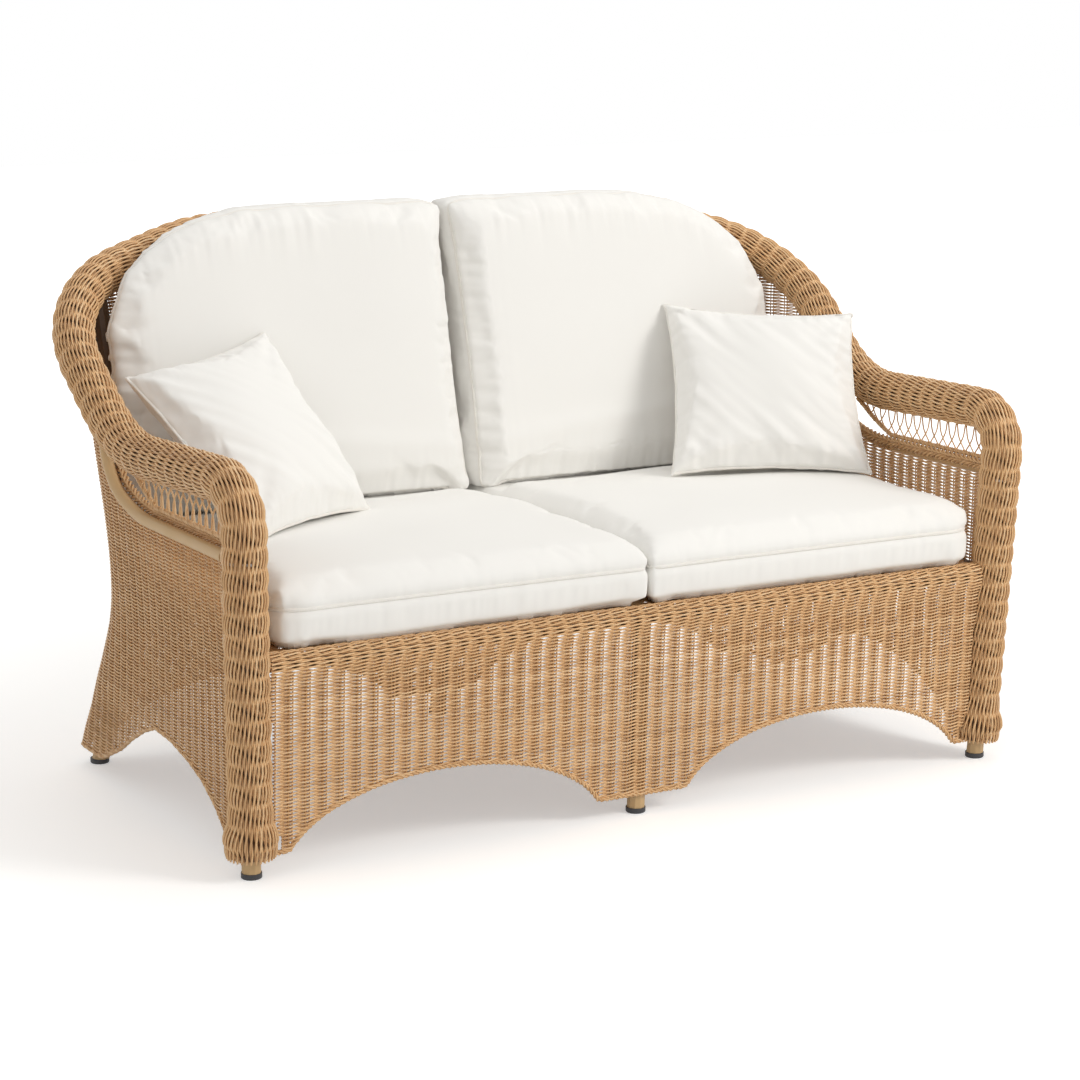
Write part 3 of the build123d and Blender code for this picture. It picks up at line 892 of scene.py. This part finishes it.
def seat_detail(seed):
    """Shape function with the seam groove, puckers and flat faces of a seat cushion."""
    def shape(co, out):
        """A point of the cushion, moved along its normal and kept inside its space."""
        x, y, z = co.x, co.y - feet_line, co.z
        edge = 1 - min(1, abs(out.z) * 1.2)
        run = x if abs(out.y) > abs(out.x) else y
        gap = z - seat_seam
        depth = -groove_depth * hill(gap, groove_width) * edge
        depth += pucker * ruffle(run, seed) * hill(gap - 0.02, 0.022) * edge
        depth += 0.0016 * ruffle(run + 9, seed) * hill(gap + 0.025, 0.02) * edge
        depth += 0.0045 * noise.noise(Vector((x * 5.5, y * 7, seed))) * abs(out.z)
        co = co + out * depth
        co.z = laid(co.z, out, deck_top + rest_gap)
        if y > seat_flat_from:
            co.z = min(co.z, seat_top - 0.0002)
        co.z = min(co.z, seat_highest)
        co.x = min(max(co.x, middle_gap), seat_widest)
        return co
    return shape


# The right back cushion; the left one mirrors it
back_slope, rear_slope, back_turn = tan(radians(13.6)), tan(radians(9.8)), 0.315
back_inner, back_outer, back_low, back_front, back_round = 0.004, 0.664, 0.4525, 0.549, 0.026


def back_roof(x):
    """Top outline of the right back cushion."""
    return between(((0.0, 0.938), (0.05, 0.948), (0.12, 0.951), (0.30, 0.951), (0.40, 0.946), (0.48, 0.932),
                    (0.55, 0.908), (0.61, 0.868), (0.645, 0.82), (0.664, 0.765)), x)


def back_shape(u, v, w):
    """A point of the right back cushion's form."""
    x = across(back_inner, back_outer, u)
    z = across(back_low, back_roof(x), w)
    front = back_front + back_slope * (z - seat_top)
    rear = 0.683 + rear_slope * (z - seat_top) - max(0, x - 0.36) * back_turn
    rear = max(rear, front + 0.03)
    y = across(front, rear, v)
    ahead = max(0, min(1, (front + back_round - y) / back_round))
    inset = rounding(0.022, ahead)
    x = min(max(x, back_inner + inset), back_outer - inset)
    z = max(min(z, back_roof(x) - inset), back_low + inset * 0.15)
    return at(x, y, z)


def back_middle(z):
    """Depth of the back cushion's seam at a height."""
    return back_front + back_slope * (z - seat_top) + 0.022


def back_detail(seed):
    """Shape function with the puckers, soft hollows and flat faces of a back cushion."""
    def shape(co, out):
        """A point of the cushion, moved along its normal and kept inside its space."""
        x, y, z = co.x, co.y - feet_line, co.z
        rim = 1 - min(1, abs(out.y) * 1.15)
        gap = y - back_middle(z)
        run = x if abs(out.z) > abs(out.x) else z
        depth = -groove_depth * hill(gap, groove_width) * rim
        depth += pucker * ruffle(run, seed) * hill(gap - 0.02, 0.02) * rim
        face = max(0.0, -out.y)
        edge = min(x, back_outer - x, back_roof(min(x, back_outer)) - z, z - seat_top)
        depth += 0.004 * ruffle(run + 3, seed + 2) * hill(edge - 0.01, 0.05) * face
        depth += 0.007 * noise.noise(Vector((x * 4.2, z * 4.0, seed))) * face
        depth += 0.0035 * hill(z - 0.53 - 0.10 * x, 0.02) * face
        co = co + out * depth
        co.z = laid(co.z, out, seat_top + rest_gap)
        co.x = max(co.x, middle_gap)
        limit = 0.6855 + rear_slope * (co.z - seat_top) - max(0, co.x - 0.37) * back_turn
        co.y = min(co.y, limit + feet_line)
        return co
    return shape


pillow_half = 0.175
# Corners of the pillows as they slump: lower left, lower right, upper left, upper right
pillow_corners = {
    "right": ((0.297, 0.389, 0.474), (0.617, 0.224, 0.474), (0.409, 0.600, 0.752), (0.676, 0.377, 0.742)),
    "left": ((-0.588, 0.194, 0.474), (-0.309, 0.356, 0.474), (-0.673, 0.520, 0.702), (-0.388, 0.600, 0.751)),
}


def slumped(co, corners):
    """A point of the flat pillow laid on the surface between its four corners."""
    a, b = co.x / pillow_half / 2 + 0.5, co.y / pillow_half / 2 + 0.5
    low_left, low_right, high_left, high_right = (at(*corner) for corner in corners)
    low, high = low_left.lerp(low_right, a), high_left.lerp(high_right, a)
    sideways = (low_right - low_left).lerp(high_right - high_left, b)
    return low.lerp(high, b) + sideways.cross(high - low).normalized() * co.z


def pillow_shape(u, v, w):
    """A point of a flat pillow's form, with its sides drawn in between the corners."""
    a, b = 2 * u, 2 * v
    drawn, swell, half_edge, half_middle = 0.075, 0.55, 0.005, 0.046
    x = pillow_half * a * (1 - drawn * (1 - b * b) * abs(a))
    y = pillow_half * b * (1 - drawn * (1 - a * a) * abs(b))
    full = max(0.0, (1 - a * a)) ** swell * max(0.0, (1 - b * b)) ** swell
    return Vector((x, y, 2 * w * (half_edge + half_middle * full)))


def pillow_detail(seed):
    """Shape function with creases that run in from the corners and puckers along the edge seam."""
    def shape(co, out):
        """A point of the flat pillow, moved up or down, less so at its edge."""
        x, y = co.x / pillow_half, co.y / pillow_half
        edge = 1 - max(abs(x), abs(y))
        run = co.x if abs(y) > abs(x) else co.y
        depth = 0.0035 * ruffle(run, seed) * hill(edge - 0.1, 0.16)
        depth += 0.006 * noise.noise(Vector((x * 1.6, y * 1.6, seed)))
        corner = abs(abs(x) - abs(y))
        depth -= 0.004 * hill(corner, 0.10) * hill(edge - 0.3, 0.25)
        depth += 0.004 * noise.noise(Vector(((x + y) * 6, (x - y) * 1.2, seed))) * hill(edge - 0.3, 0.4)
        up = Vector((0, 0, 1 if co.z > 0 else -1))
        return co + up * depth * (1 if edge > 0.04 else edge / 0.04)
    return shape


def mirrored_copy(piece, name):
    """The same form on the other side of the seat."""
    form = bmesh.new()
    form.from_mesh(piece.data)
    bmesh.ops.scale(form, vec=(-1, 1, 1), verts=form.verts[:])
    bmesh.ops.reverse_faces(form, faces=form.faces[:])
    return link_piece(name, smoothed(mesh_of(form, name)))


def plain_copy(piece, name):
    """A second piece with its own copy of the mesh."""
    return link_piece(name, piece.data.copy())


def settings_of(context):
    """The loveseat's sizes and colours."""
    return context.scene.loveseat_sizes, context.scene.loveseat_colours


class LOVESEAT_OT_finishes(bpy.types.Operator):
    """Make the finishes and give them to the frame's tubes, slats and feet"""

    bl_idname = "loveseat.finishes"
    bl_label = "Finishes"

    def execute(self, context):
        colours = context.scene.loveseat_colours
        grain, cloth, coat = grain_group(), cloth_group(), coat_group()
        cane = {"Base": shade(colours.cane), "Dark": shade(colours.cane_dark),
                "Light": shade(colours.cane_light)}
        # Painted shade: a very dark cane for the core inside the rolls, standing in for the shade in their
        # hollows.
        shade_lining = {"Base": shade(colours.cane_dark, 0.4), "Dark": shade(colours.cane_dark, 0.25),
                  "Light": shade(colours.cane, 0.4)}
        finish("cane", grain, cane, 0.25, 0.0004)
        finish("lining_cane", grain, shade_lining, 0.25, 0.0004)
        finish("cushion_cloth", cloth, {"Base": shade(colours.cloth)}, 0.35, 0.0004, sheen=0.15)
        finish("piping_cloth", cloth, {"Base": shade(colours.piping)}, 0.5, 0.0004, sheen=0.1)
        # Painted shade: above the feet, the tubes inside the weave take a dark brown in place of their tan
        # coat.
        tan, worn_tan, painted_tube_shade = shade(colours.tube), shade(colours.tube, 1.18), shade(colours.painted_tube_shade)
        black, worn_black, bare = shade(colours.glide), shade(colours.glide, 1.6), (0.6, 0.6, 0.6, 1)
        for name, base, worn, upper, bump, distance, metallic in (
            ("band_coat", tan, worn_tan, tan, 0.15, 0.0003, 0.0),
            ("tube_coat", tan, worn_tan, painted_tube_shade, 0.15, 0.0003, 0.0),
            ("foot_glide", black, worn_black, black, 0.2, 0.0003, 0.0),
            ("bare_hoop", bare, bare, bare, 0.1, 0.0002, 1.0),
        ):
            finish(name, coat, {"Base": base, "Worn": worn, "Upper": upper}, bump, distance, metallic)
        slots = {sub["node"]: sub["material_slot"] for sub in frame["record"]["subparts"]}
        wanted = {"foot_plastic": "foot_glide", "hoop": "bare_hoop"}
        for name, node in frame["nodes"].items():
            material = bpy.data.materials[wanted.get(slots[name], "tube_coat")]
            for slot in node.material_slots:
                slot.material = material
        return {"FINISHED"}


class LOVESEAT_OT_rolls(bpy.types.Operator):
    """Weave the thick rolls of the arms and the back"""

    bl_idname = "loveseat.rolls"
    bl_label = "Woven rolls"

    def execute(self, context):
        sizes = context.scene.loveseat_sizes
        shade_core_radius = 0.0265
        points = roll_line(sizes.ring_pitch / 4)
        marks = framed(points, Vector((0, 1, 0)))
        first, last = roll_spans(points)
        spans = {"arm_roll_right": range(0, first + 1), "back_roll": range(first, last + 1),
                 "arm_roll_left": range(last, len(points))}
        for name, span in spans.items():
            runs, tones = roll_strands(sizes, span, points, marks, (first, last))
            cane_piece("woven_" + name, runs, sizes.roll_cane, [name], tones=tones)
            # A dark core inside each roll: painted shade for the hollow seen through the gaps of the weave.
            core = [points[k] for k in span][::2] + [points[span[-1]]]
            cane_piece("lining_" + name, [core], shade_core_radius, resolution=5, look="lining_cane")
        return {"FINISHED"}


class LOVESEAT_OT_skins(bpy.types.Operator):
    """Weave the skins of the sides and the back"""

    bl_idname = "loveseat.skins"
    bl_label = "Side and back weave"

    def execute(self, context):
        sizes = context.scene.loveseat_sizes
        skin = Skin(sizes)
        whole = skin.cells
        back_span = (-whole // 2, whole // 2)
        back_width = split_half_width + 0.003
        hem_radius, hem_cane, hem_pitch, strip_radius = 0.0028, 0.0021, 0.03, 0.0034
        areas = (
            ("side_weave_right", "side_weave_right", 0, whole, lambda p: p.x >= split_half_width - skin.cell),
            ("side_weave_left", "side_weave_left", -whole, 0, lambda p: p.x <= skin.cell - split_half_width),
            ("back_weave_low", "back_weave", *back_span, lambda p: abs(p.x) <= back_width and p.z < 0.483),
            ("back_weave_high", "back_weave", *back_span, lambda p: abs(p.x) <= back_width and p.z >= 0.48),
        )
        for name, node, start, end, keep in areas:
            runs, tones = skin.rows(start, end, keep)
            cane_piece("woven_" + name, runs, sizes.cane, [node], tones=tones)
            cane_piece("stakes_" + name, skin.stakes(start, end, keep), stake_radius, seed=5)
        strips = []
        for side in (1, -1):
            for offset in (0.036, 0.0425):
                strip = []
                for step in range(12):
                    z = 0.055 + step * 0.0405
                    strip.append(at(side * (skin_section(z)[0] + 0.0025), offset + post_depth(z), z))
                strips.append(strip)
        cane_piece("post_strips", strips, strip_radius, resolution=1, seed=15)
        edges = []
        for side, start, end in ((1, 0, whole), (-1, -whole, 0)):
            line = skin.hem(start, end, lambda p: p.x * side >= 0)
            edges += cord_strands(even_points(line, 0.007), hem_radius, 3, hem_pitch)
        cane_piece("hem_cord", edges, hem_cane, seed=8)
        return {"FINISHED"}


class LOVESEAT_OT_apron(bpy.types.Operator):
    """Weave the front apron and its rolled edge"""

    bl_idname = "loveseat.apron"
    bl_label = "Front apron"

    def execute(self, context):
        sizes = context.scene.loveseat_sizes
        random = Random(3)
        swing, twist, half_width, stakes_to = 0.0030, 0.00142, 0.70, 0.655
        rail_depth, rail_height, edge_height = -0.0171, 0.335, 0.324
        curl_radius, curl_turn, scallop = 0.0160, 2.3, 0.0022
        hem_step, hem_radius, hem_cane, hem_pitch = 0.0047, 0.003, 0.0022, 0.028
        cell = sizes.stake_pitch / stake_cells
        cells = int(half_width / cell)

        def low(x):
            """Lowest point of the weave: the hem or an arch."""
            inside = 1 - ((abs(x) - arch_centre) / arch_half_width) ** 2
            return max(hem_height, arch_rise * sqrt(inside)) if inside > 0 else hem_height

        def limit(z):
            """Where the weave ends at the post or its bell."""
            post = roll_corners[0][0] + post_splay * (z - post_foot) / post_rise
            return post - (0.040 if z < 0.085 else 0.0305)

        def depth(z):
            """Depth of the face."""
            return apron_face - apron_lean * z + 0.0045

        def row_place(x, along):
            """Place, outward and upward direction on the face, which curls back over its top edge."""
            turn = max(0, along - rail_height) / curl_radius
            out, up = Vector((0, -cos(turn), sin(turn))), Vector((0, sin(turn), cos(turn)))
            bulge = scallop * (abs(sin(pi * x / sizes.stake_pitch)) - 0.6) * blend(0.300, rail_height, along)
            if turn == 0:
                share = blend(0.298, 0.331, along)
                y = depth(along) * (1 - share) + (rail_depth - curl_radius) * share
                return Vector((x, y - bulge, along)), out, up
            return Vector((x, rail_depth, rail_height)) + out * (curl_radius + bulge), out, up

        face, curl = ([], []), ([], [])
        along = hem_height
        while along < rail_height + curl_turn * curl_radius:
            runs, tones = face if along <= edge_height else curl
            strands = ([], [])
            pair_tones = (random.random(), random.random())
            for k in range(-cells, cells + 1):
                x = k * cell
                if abs(x) <= limit(along) and along >= low(x):
                    twine(strands, *row_place(x, along), pi * x / sizes.stake_pitch, swing, twist)
                else:
                    strands = stored(strands, pair_tones, runs, tones)
            stored(strands, pair_tones, runs, tones)
            along += sizes.row_pitch
        cane_piece("woven_apron", face[0], sizes.cane, ["apron_weave"], resolution=1, tones=face[1])
        cane_piece("curled_apron", curl[0], sizes.cane, ["apron_braid"], 1, tones=curl[1])
        stakes = []
        for k in range(-cells, cells + 1):
            for offset in (-stake_half_gap, stake_half_gap):
                x = k * cell + offset
                if k % stake_cells == 0 and abs(x) < stakes_to:
                    stakes.append([at(x, depth(z), z) for z in (low(x), 0.2, 0.320)])
        cane_piece("stakes_apron", stakes, stake_radius, seed=4)
        hem = []
        for k in range(-140, 141):
            x = k * hem_step
            if abs(x) <= limit(low(x)) + 0.006:
                hem.append(at(x, depth(low(x)), low(x)))
        cord = cord_strands(even_points(hem, 0.006), hem_radius, 3, hem_pitch)
        cane_piece("hem_apron", cord, hem_cane, seed=9)
        return {"FINISHED"}


class LOVESEAT_OT_arm_panels(bpy.types.Operator):
    """Bend the bands, plait the braids and cross the lattice under the arms"""

    bl_idname = "loveseat.arm_panels"
    bl_label = "Arm panels"

    def execute(self, context):
        pitch, lean_height, rise_step, rise_steps, weave_swing = 0.0255, 0.050, 0.0028, 25, 0.0016
        band_x, plait_x, panel_x = 0.721, 0.7060, 0.711
        band_radius, plait_radius, plait_cane, plait_pitch, plait_lift = 0.0102, 0.0037, 0.0020, 0.036, 0.0053
        sill_radius, sill_cane, sill_pitch, lattice_cane = 0.003, 0.0019, 0.024, 0.00165
        panel_front, panel_rear = -0.004, 0.405
        bends = (0.35, 0.11)
        band_path = ((0.002, 0.504), (0.355, 0.504), (0.482, 0.545), (0.497, 0.640))
        plait_path = ((0.002, 0.5155), (0.355, 0.5155), (0.478, 0.5555), (0.493, 0.6285))

        def roof(y):
            """Underside of the roll."""
            return 0.5815 - 0.029 * (y + 0.033) + max(0, y - 0.314) ** 2 / 0.532

        def sill(y):
            """Cord at the foot of the lattice."""
            return 0.5268 + max(0, y - 0.312) * 0.58

        for side, word in ((1, "right"), (-1, "left")):
            band = [at(side * band_x, y, z) for y, z in band_path]
            cane_piece("band_" + word, [rounded_line(band, bends, 0.008)], band_radius, ["arm_band_" + word],
                       5, look="band_coat")
            plait = []
            for way in (1, -1):
                inner = [at(side * plait_x, y, z + way * plait_lift) for y, z in plait_path]
                plait += cord_strands(rounded_line(inner, bends, 0.003), plait_radius, 3, way * plait_pitch)
            cane_piece("plait_arm_" + word, plait, plait_cane, ["arm_braid_" + word], seed=12)
            edge = [at(side * panel_x, y, sill(y)) for y in (0.004, 0.1, 0.2, 0.3, 0.35, panel_rear)]
            cord = cord_strands(even_points(edge, 0.004), sill_radius, 4, sill_pitch)
            cane_piece("sill_" + word, cord, sill_cane, seed=14)
            lattice = []
            for k in range(-1, 18):
                for lean in (1, -1):
                    run = []
                    foot = 0.006 + k * pitch + lean * 0.0012
                    for step in range(rise_steps):
                        rise = step * rise_step
                        share = min(1, rise / lean_height)
                        y = foot + lean * pitch * (1.35 * share - 0.35 * share * share)
                        z = sill(foot) + rise
                        if panel_front < y < panel_rear and z <= roof(y) + 0.008:
                            weave = weave_swing * lean * cos(2 * pi * share)
                            run.append(at(side * (panel_x + weave), y, z))
                    if len(run) > 3 and foot > -0.02:
                        lattice.append(run)
            cane_piece("lattice_" + word, lattice, lattice_cane, ["arm_lattice_" + word], seed=13)
        return {"FINISHED"}


class LOVESEAT_OT_deck(bpy.types.Operator):
    """Weave the flat straps of the seat deck"""

    bl_idname = "loveseat.deck"
    bl_label = "Seat deck"

    def execute(self, context):
        form = bmesh.new()
        pitch, half, rise, thin = 0.034, 0.013, 0.0009, 0.0008
        middle = deck_top - 0.0028
        front, rear, half_width, corner = -0.012, 0.652, 0.668, 0.164
        corner_x, corner_y, corner_width, corner_depth = 0.50, 0.49, 0.172, 0.165

        def strap(start, end, along_x, index):
            """A flat strap that passes over and under those that cross it."""
            count = max(2, round(abs(end[0] - start[0] + end[1] - start[1]) / (pitch / 2)))
            grid = bmesh.ops.create_grid(form, x_segments=count, y_segments=1, size=0.5)
            for vertex in grid["verts"]:
                share, aside = vertex.co.x + 0.5, 2 * half * vertex.co.y
                x = start[0] + (end[0] - start[0]) * share + (0 if along_x else -aside)
                y = start[1] + (end[1] - start[1]) * share + (aside if along_x else 0)
                run = (x if along_x else y) / pitch
                vertex.co = at(x, y, middle + rise * cos(pi * (run + index)) * (1 if along_x else -1))

        for index in range(-19, 20):
            x = index * pitch
            past = max(0, 1 - ((abs(x) - corner_x) / corner_width) ** 2)
            end = rear if abs(x) < corner_x else rear - corner * (1 - sqrt(past))
            strap((x, front), (x, end), False, index)
        for index in range(1, 20):
            y = index * pitch
            past = max(0, 1 - ((y - corner_y) / corner_depth) ** 2)
            wide = half_width if y < corner_y else 0.502 + corner * sqrt(past)
            strap((-wide, y), (wide, y), True, index)
        piece = link_piece("deck_straps", mesh_of(form, "deck_straps"))
        thick = piece.modifiers.new("thick", "SOLIDIFY")
        thick.thickness = 2 * thin
        thick.offset = 0
        applied(piece)
        declared(piece, "cane", "frame", ["seat_deck"])
        return {"FINISHED"}


class LOVESEAT_OT_seat_cushions(bpy.types.Operator):
    """Fill the two seat cushions and sew on their piping"""

    bl_idname = "loveseat.seat_cushions"
    bl_label = "Seat cushions"

    def execute(self, context):
        sizes = context.scene.loveseat_sizes
        voxel, most_push = 0.0075, 0.014
        low_corner, high_corner = at(0.0014, -0.0335, deck_top - 0.007), at(0.6545, 0.6490, 0.4765)
        right = swollen(block_form("seat_form", seat_shape), voxel, sizes.pressure, most_push)
        fitted(right, low_corner, high_corner)
        seam = (Vector((0, 0, seat_seam)), Vector((0, 0, 1)))
        cushion_pair("seat", "foam", right, seat_detail, (2.0, 7.0), seam, sizes.piping)
        return {"FINISHED"}


class LOVESEAT_OT_back_cushions(bpy.types.Operator):
    """Fill the two back cushions and sew on their piping"""

    bl_idname = "loveseat.back_cushions"
    bl_label = "Back cushions"

    def execute(self, context):
        sizes = context.scene.loveseat_sizes
        voxel, most_push = 0.0080, 0.018
        low_corner, high_corner = (0.0014, None, seat_top - 0.015), (0.6665, None, 0.956)
        right = swollen(block_form("back_form", back_shape), voxel, sizes.pressure, most_push)
        fitted(right, low_corner, high_corner)
        seam = (at(0, back_middle(seat_top), seat_top), Vector((0, 1, -back_slope)).normalized())
        cushion_pair("back", "fill", right, back_detail, (4.0, 9.0), seam, sizes.piping)
        return {"FINISHED"}


class LOVESEAT_OT_pillows(bpy.types.Operator):
    """Fill the two loose pillows and sew on their piping"""

    bl_idname = "loveseat.pillows"
    bl_label = "Loose pillows"

    def execute(self, context):
        sizes = context.scene.loveseat_sizes
        voxel, most_push, cord_radius, lowest = 0.0060, 0.010, 0.0028, 0.4728
        flat = swollen(block_form("pillow_form", pillow_shape), voxel, sizes.pressure, most_push)
        fitted(flat, (-pillow_half, -pillow_half, None), (pillow_half, pillow_half, None))
        for word, seed in (("right", 3.0), ("left", 8.0)):
            piece = plain_copy(flat, "pillow_pad_" + word)
            refined(piece, pillow_detail(seed))
            line = smooth_loop(seam_loop(piece, Vector((0, 0, 0)), Vector((0, 0, 1))), 0.005)
            corners = pillow_corners[word]
            for vertex in piece.data.vertices:
                vertex.co = slumped(vertex.co, corners)
                vertex.co.z = max(vertex.co.z, lowest)
            body = "pillow_" + word
            dressed(piece, "pillow", "fill", word, body)
            piping("pillow", word, [slumped(p, corners) for p in line], cord_radius, body)
        bpy.data.objects.remove(flat)
        return {"FINISHED"}


def seen_rays(tree):
    """One for rays from the camera and for those mirrored or let through by a surface."""
    path = added(tree, "LightPath")
    total = path.outputs["Is Camera Ray"]
    for kind in ("Is Glossy Ray", "Is Transmission Ray"):
        total = maths(tree, "MAXIMUM", total, path.outputs[kind])
    return total


def gated(tree, plain, seen, output):
    """Gives an output one shader for the light it sheds and another for what is seen of it."""
    gate = added(tree, "MixShader", {0: seen_rays(tree), 1: plain.outputs[0], 2: seen.outputs[0]})
    tree.links.new(gate.outputs[0], tree.nodes[output].inputs["Surface"])


class LOVESEAT_OT_stage(bpy.types.Operator):
    """Set the pale floor, the soft light and the camera"""

    bl_idname = "loveseat.stage"
    bl_label = "Stage"

    def execute(self, context):
        scene = context.scene
        form = bmesh.new()
        bmesh.ops.create_grid(form, x_segments=2, y_segments=2, size=14)
        floor = link_piece("floor", mesh_of(form, "floor"))
        material = bpy.data.materials.new("pale_floor")
        material.use_nodes = True
        tree = material.node_tree
        shader = tree.nodes["Principled BSDF"]
        feed(tree, shader, {"Base Color": (0.86, 0.86, 0.85, 1), "Roughness": 0.9})
        reach = added(tree, "VectorMath", {0: added(tree, "TexCoord").outputs["Object"]})
        reach.operation = "LENGTH"
        strength = ramped(tree, reach.outputs["Value"], 1.0, 4.0, 0.40, 0.95)
        glow = added(tree, "Emission", {"Color": (1, 1, 1, 1), "Strength": strength})
        both = added(tree, "AddShader", {0: shader.outputs[0], 1: glow.outputs[0]})
        gated(tree, shader, both, "Material Output")
        floor.data.materials.append(material)

        world = bpy.data.worlds.new("soft_room")
        scene.world = world
        world.use_nodes = True
        tree = world.node_tree
        room = tree.nodes["Background"]
        feed(tree, room, {"Color": (1.0, 0.99, 0.975, 1), "Strength": 0.52})
        gated(tree, room, added(tree, "Background", {"Color": (1, 1, 1, 1), "Strength": 1.0}), "World Output")

        for name, place, aim, power, size in (
            ("key", (2.4, -3.4, 3.0), (0.1, 0.0, 0.4), 92, 1.6),
            ("fill", (-3.2, -2.6, 2.4), (0, 0, 0.4), 12, 2.6),
            ("top", (0.2, 0.4, 3.6), (0, 0, 0.4), 22, 2.4),
        ):
            lamp = bpy.data.lights.new(name, "AREA")
            lamp.energy = power
            lamp.size = size
            lamp.color = (1.0, 0.985, 0.96)
            holder = link_piece(name, lamp)
            holder.location = place
            holder.rotation_euler = (Vector(aim) - Vector(place)).to_track_quat("-Z", "Y").to_euler()
            holder.visible_camera = False

        camera = bpy.data.cameras.new("view")
        focal_pixels, picture_pixels = 2857.04, 1080
        camera.sensor_width = 36
        camera.lens = 36 * focal_pixels / picture_pixels
        camera.clip_end = 60
        holder = link_piece("view", camera)
        holder.location = at(-2.34013, -3.84795, 1.38103)
        holder.rotation_euler = (radians(90 - 11.6), 0, -radians(29.24))
        scene.camera = holder
        scene.view_settings.view_transform = "Standard"
        return {"FINISHED"}


operators = (LOVESEAT_OT_stage, LOVESEAT_OT_finishes, LOVESEAT_OT_rolls, LOVESEAT_OT_skins, LOVESEAT_OT_apron,
             LOVESEAT_OT_arm_panels, LOVESEAT_OT_deck, LOVESEAT_OT_seat_cushions, LOVESEAT_OT_back_cushions,
             LOVESEAT_OT_pillows)


class LOVESEAT_PT_panel(bpy.types.Panel):
    """Sizes, colours and steps of the loveseat"""

    bl_idname = "LOVESEAT_PT_panel"
    bl_label = "Woven loveseat"
    bl_space_type = "VIEW_3D"
    bl_region_type = "UI"
    bl_category = "Loveseat"

    def draw(self, context):
        for group in settings_of(context):
            for label in group.__annotations__:
                self.layout.prop(group, label)
        for operator in operators:
            self.layout.operator(operator.bl_idname)


classes = (LoveseatSizes, LoveseatColours, *operators, LOVESEAT_PT_panel)


def register():
    for cls in classes:
        bpy.utils.register_class(cls)
    bpy.types.Scene.loveseat_sizes = PointerProperty(type=LoveseatSizes)
    bpy.types.Scene.loveseat_colours = PointerProperty(type=LoveseatColours)


def unregister():
    del bpy.types.Scene.loveseat_colours
    del bpy.types.Scene.loveseat_sizes
    for cls in reversed(classes):
        bpy.utils.unregister_class(cls)


def main():
    register()
    for operator in operators:
        group, name = operator.bl_idname.split(".")
        getattr(getattr(bpy.ops, group), name)()


if __name__ == "__main__":
    main()
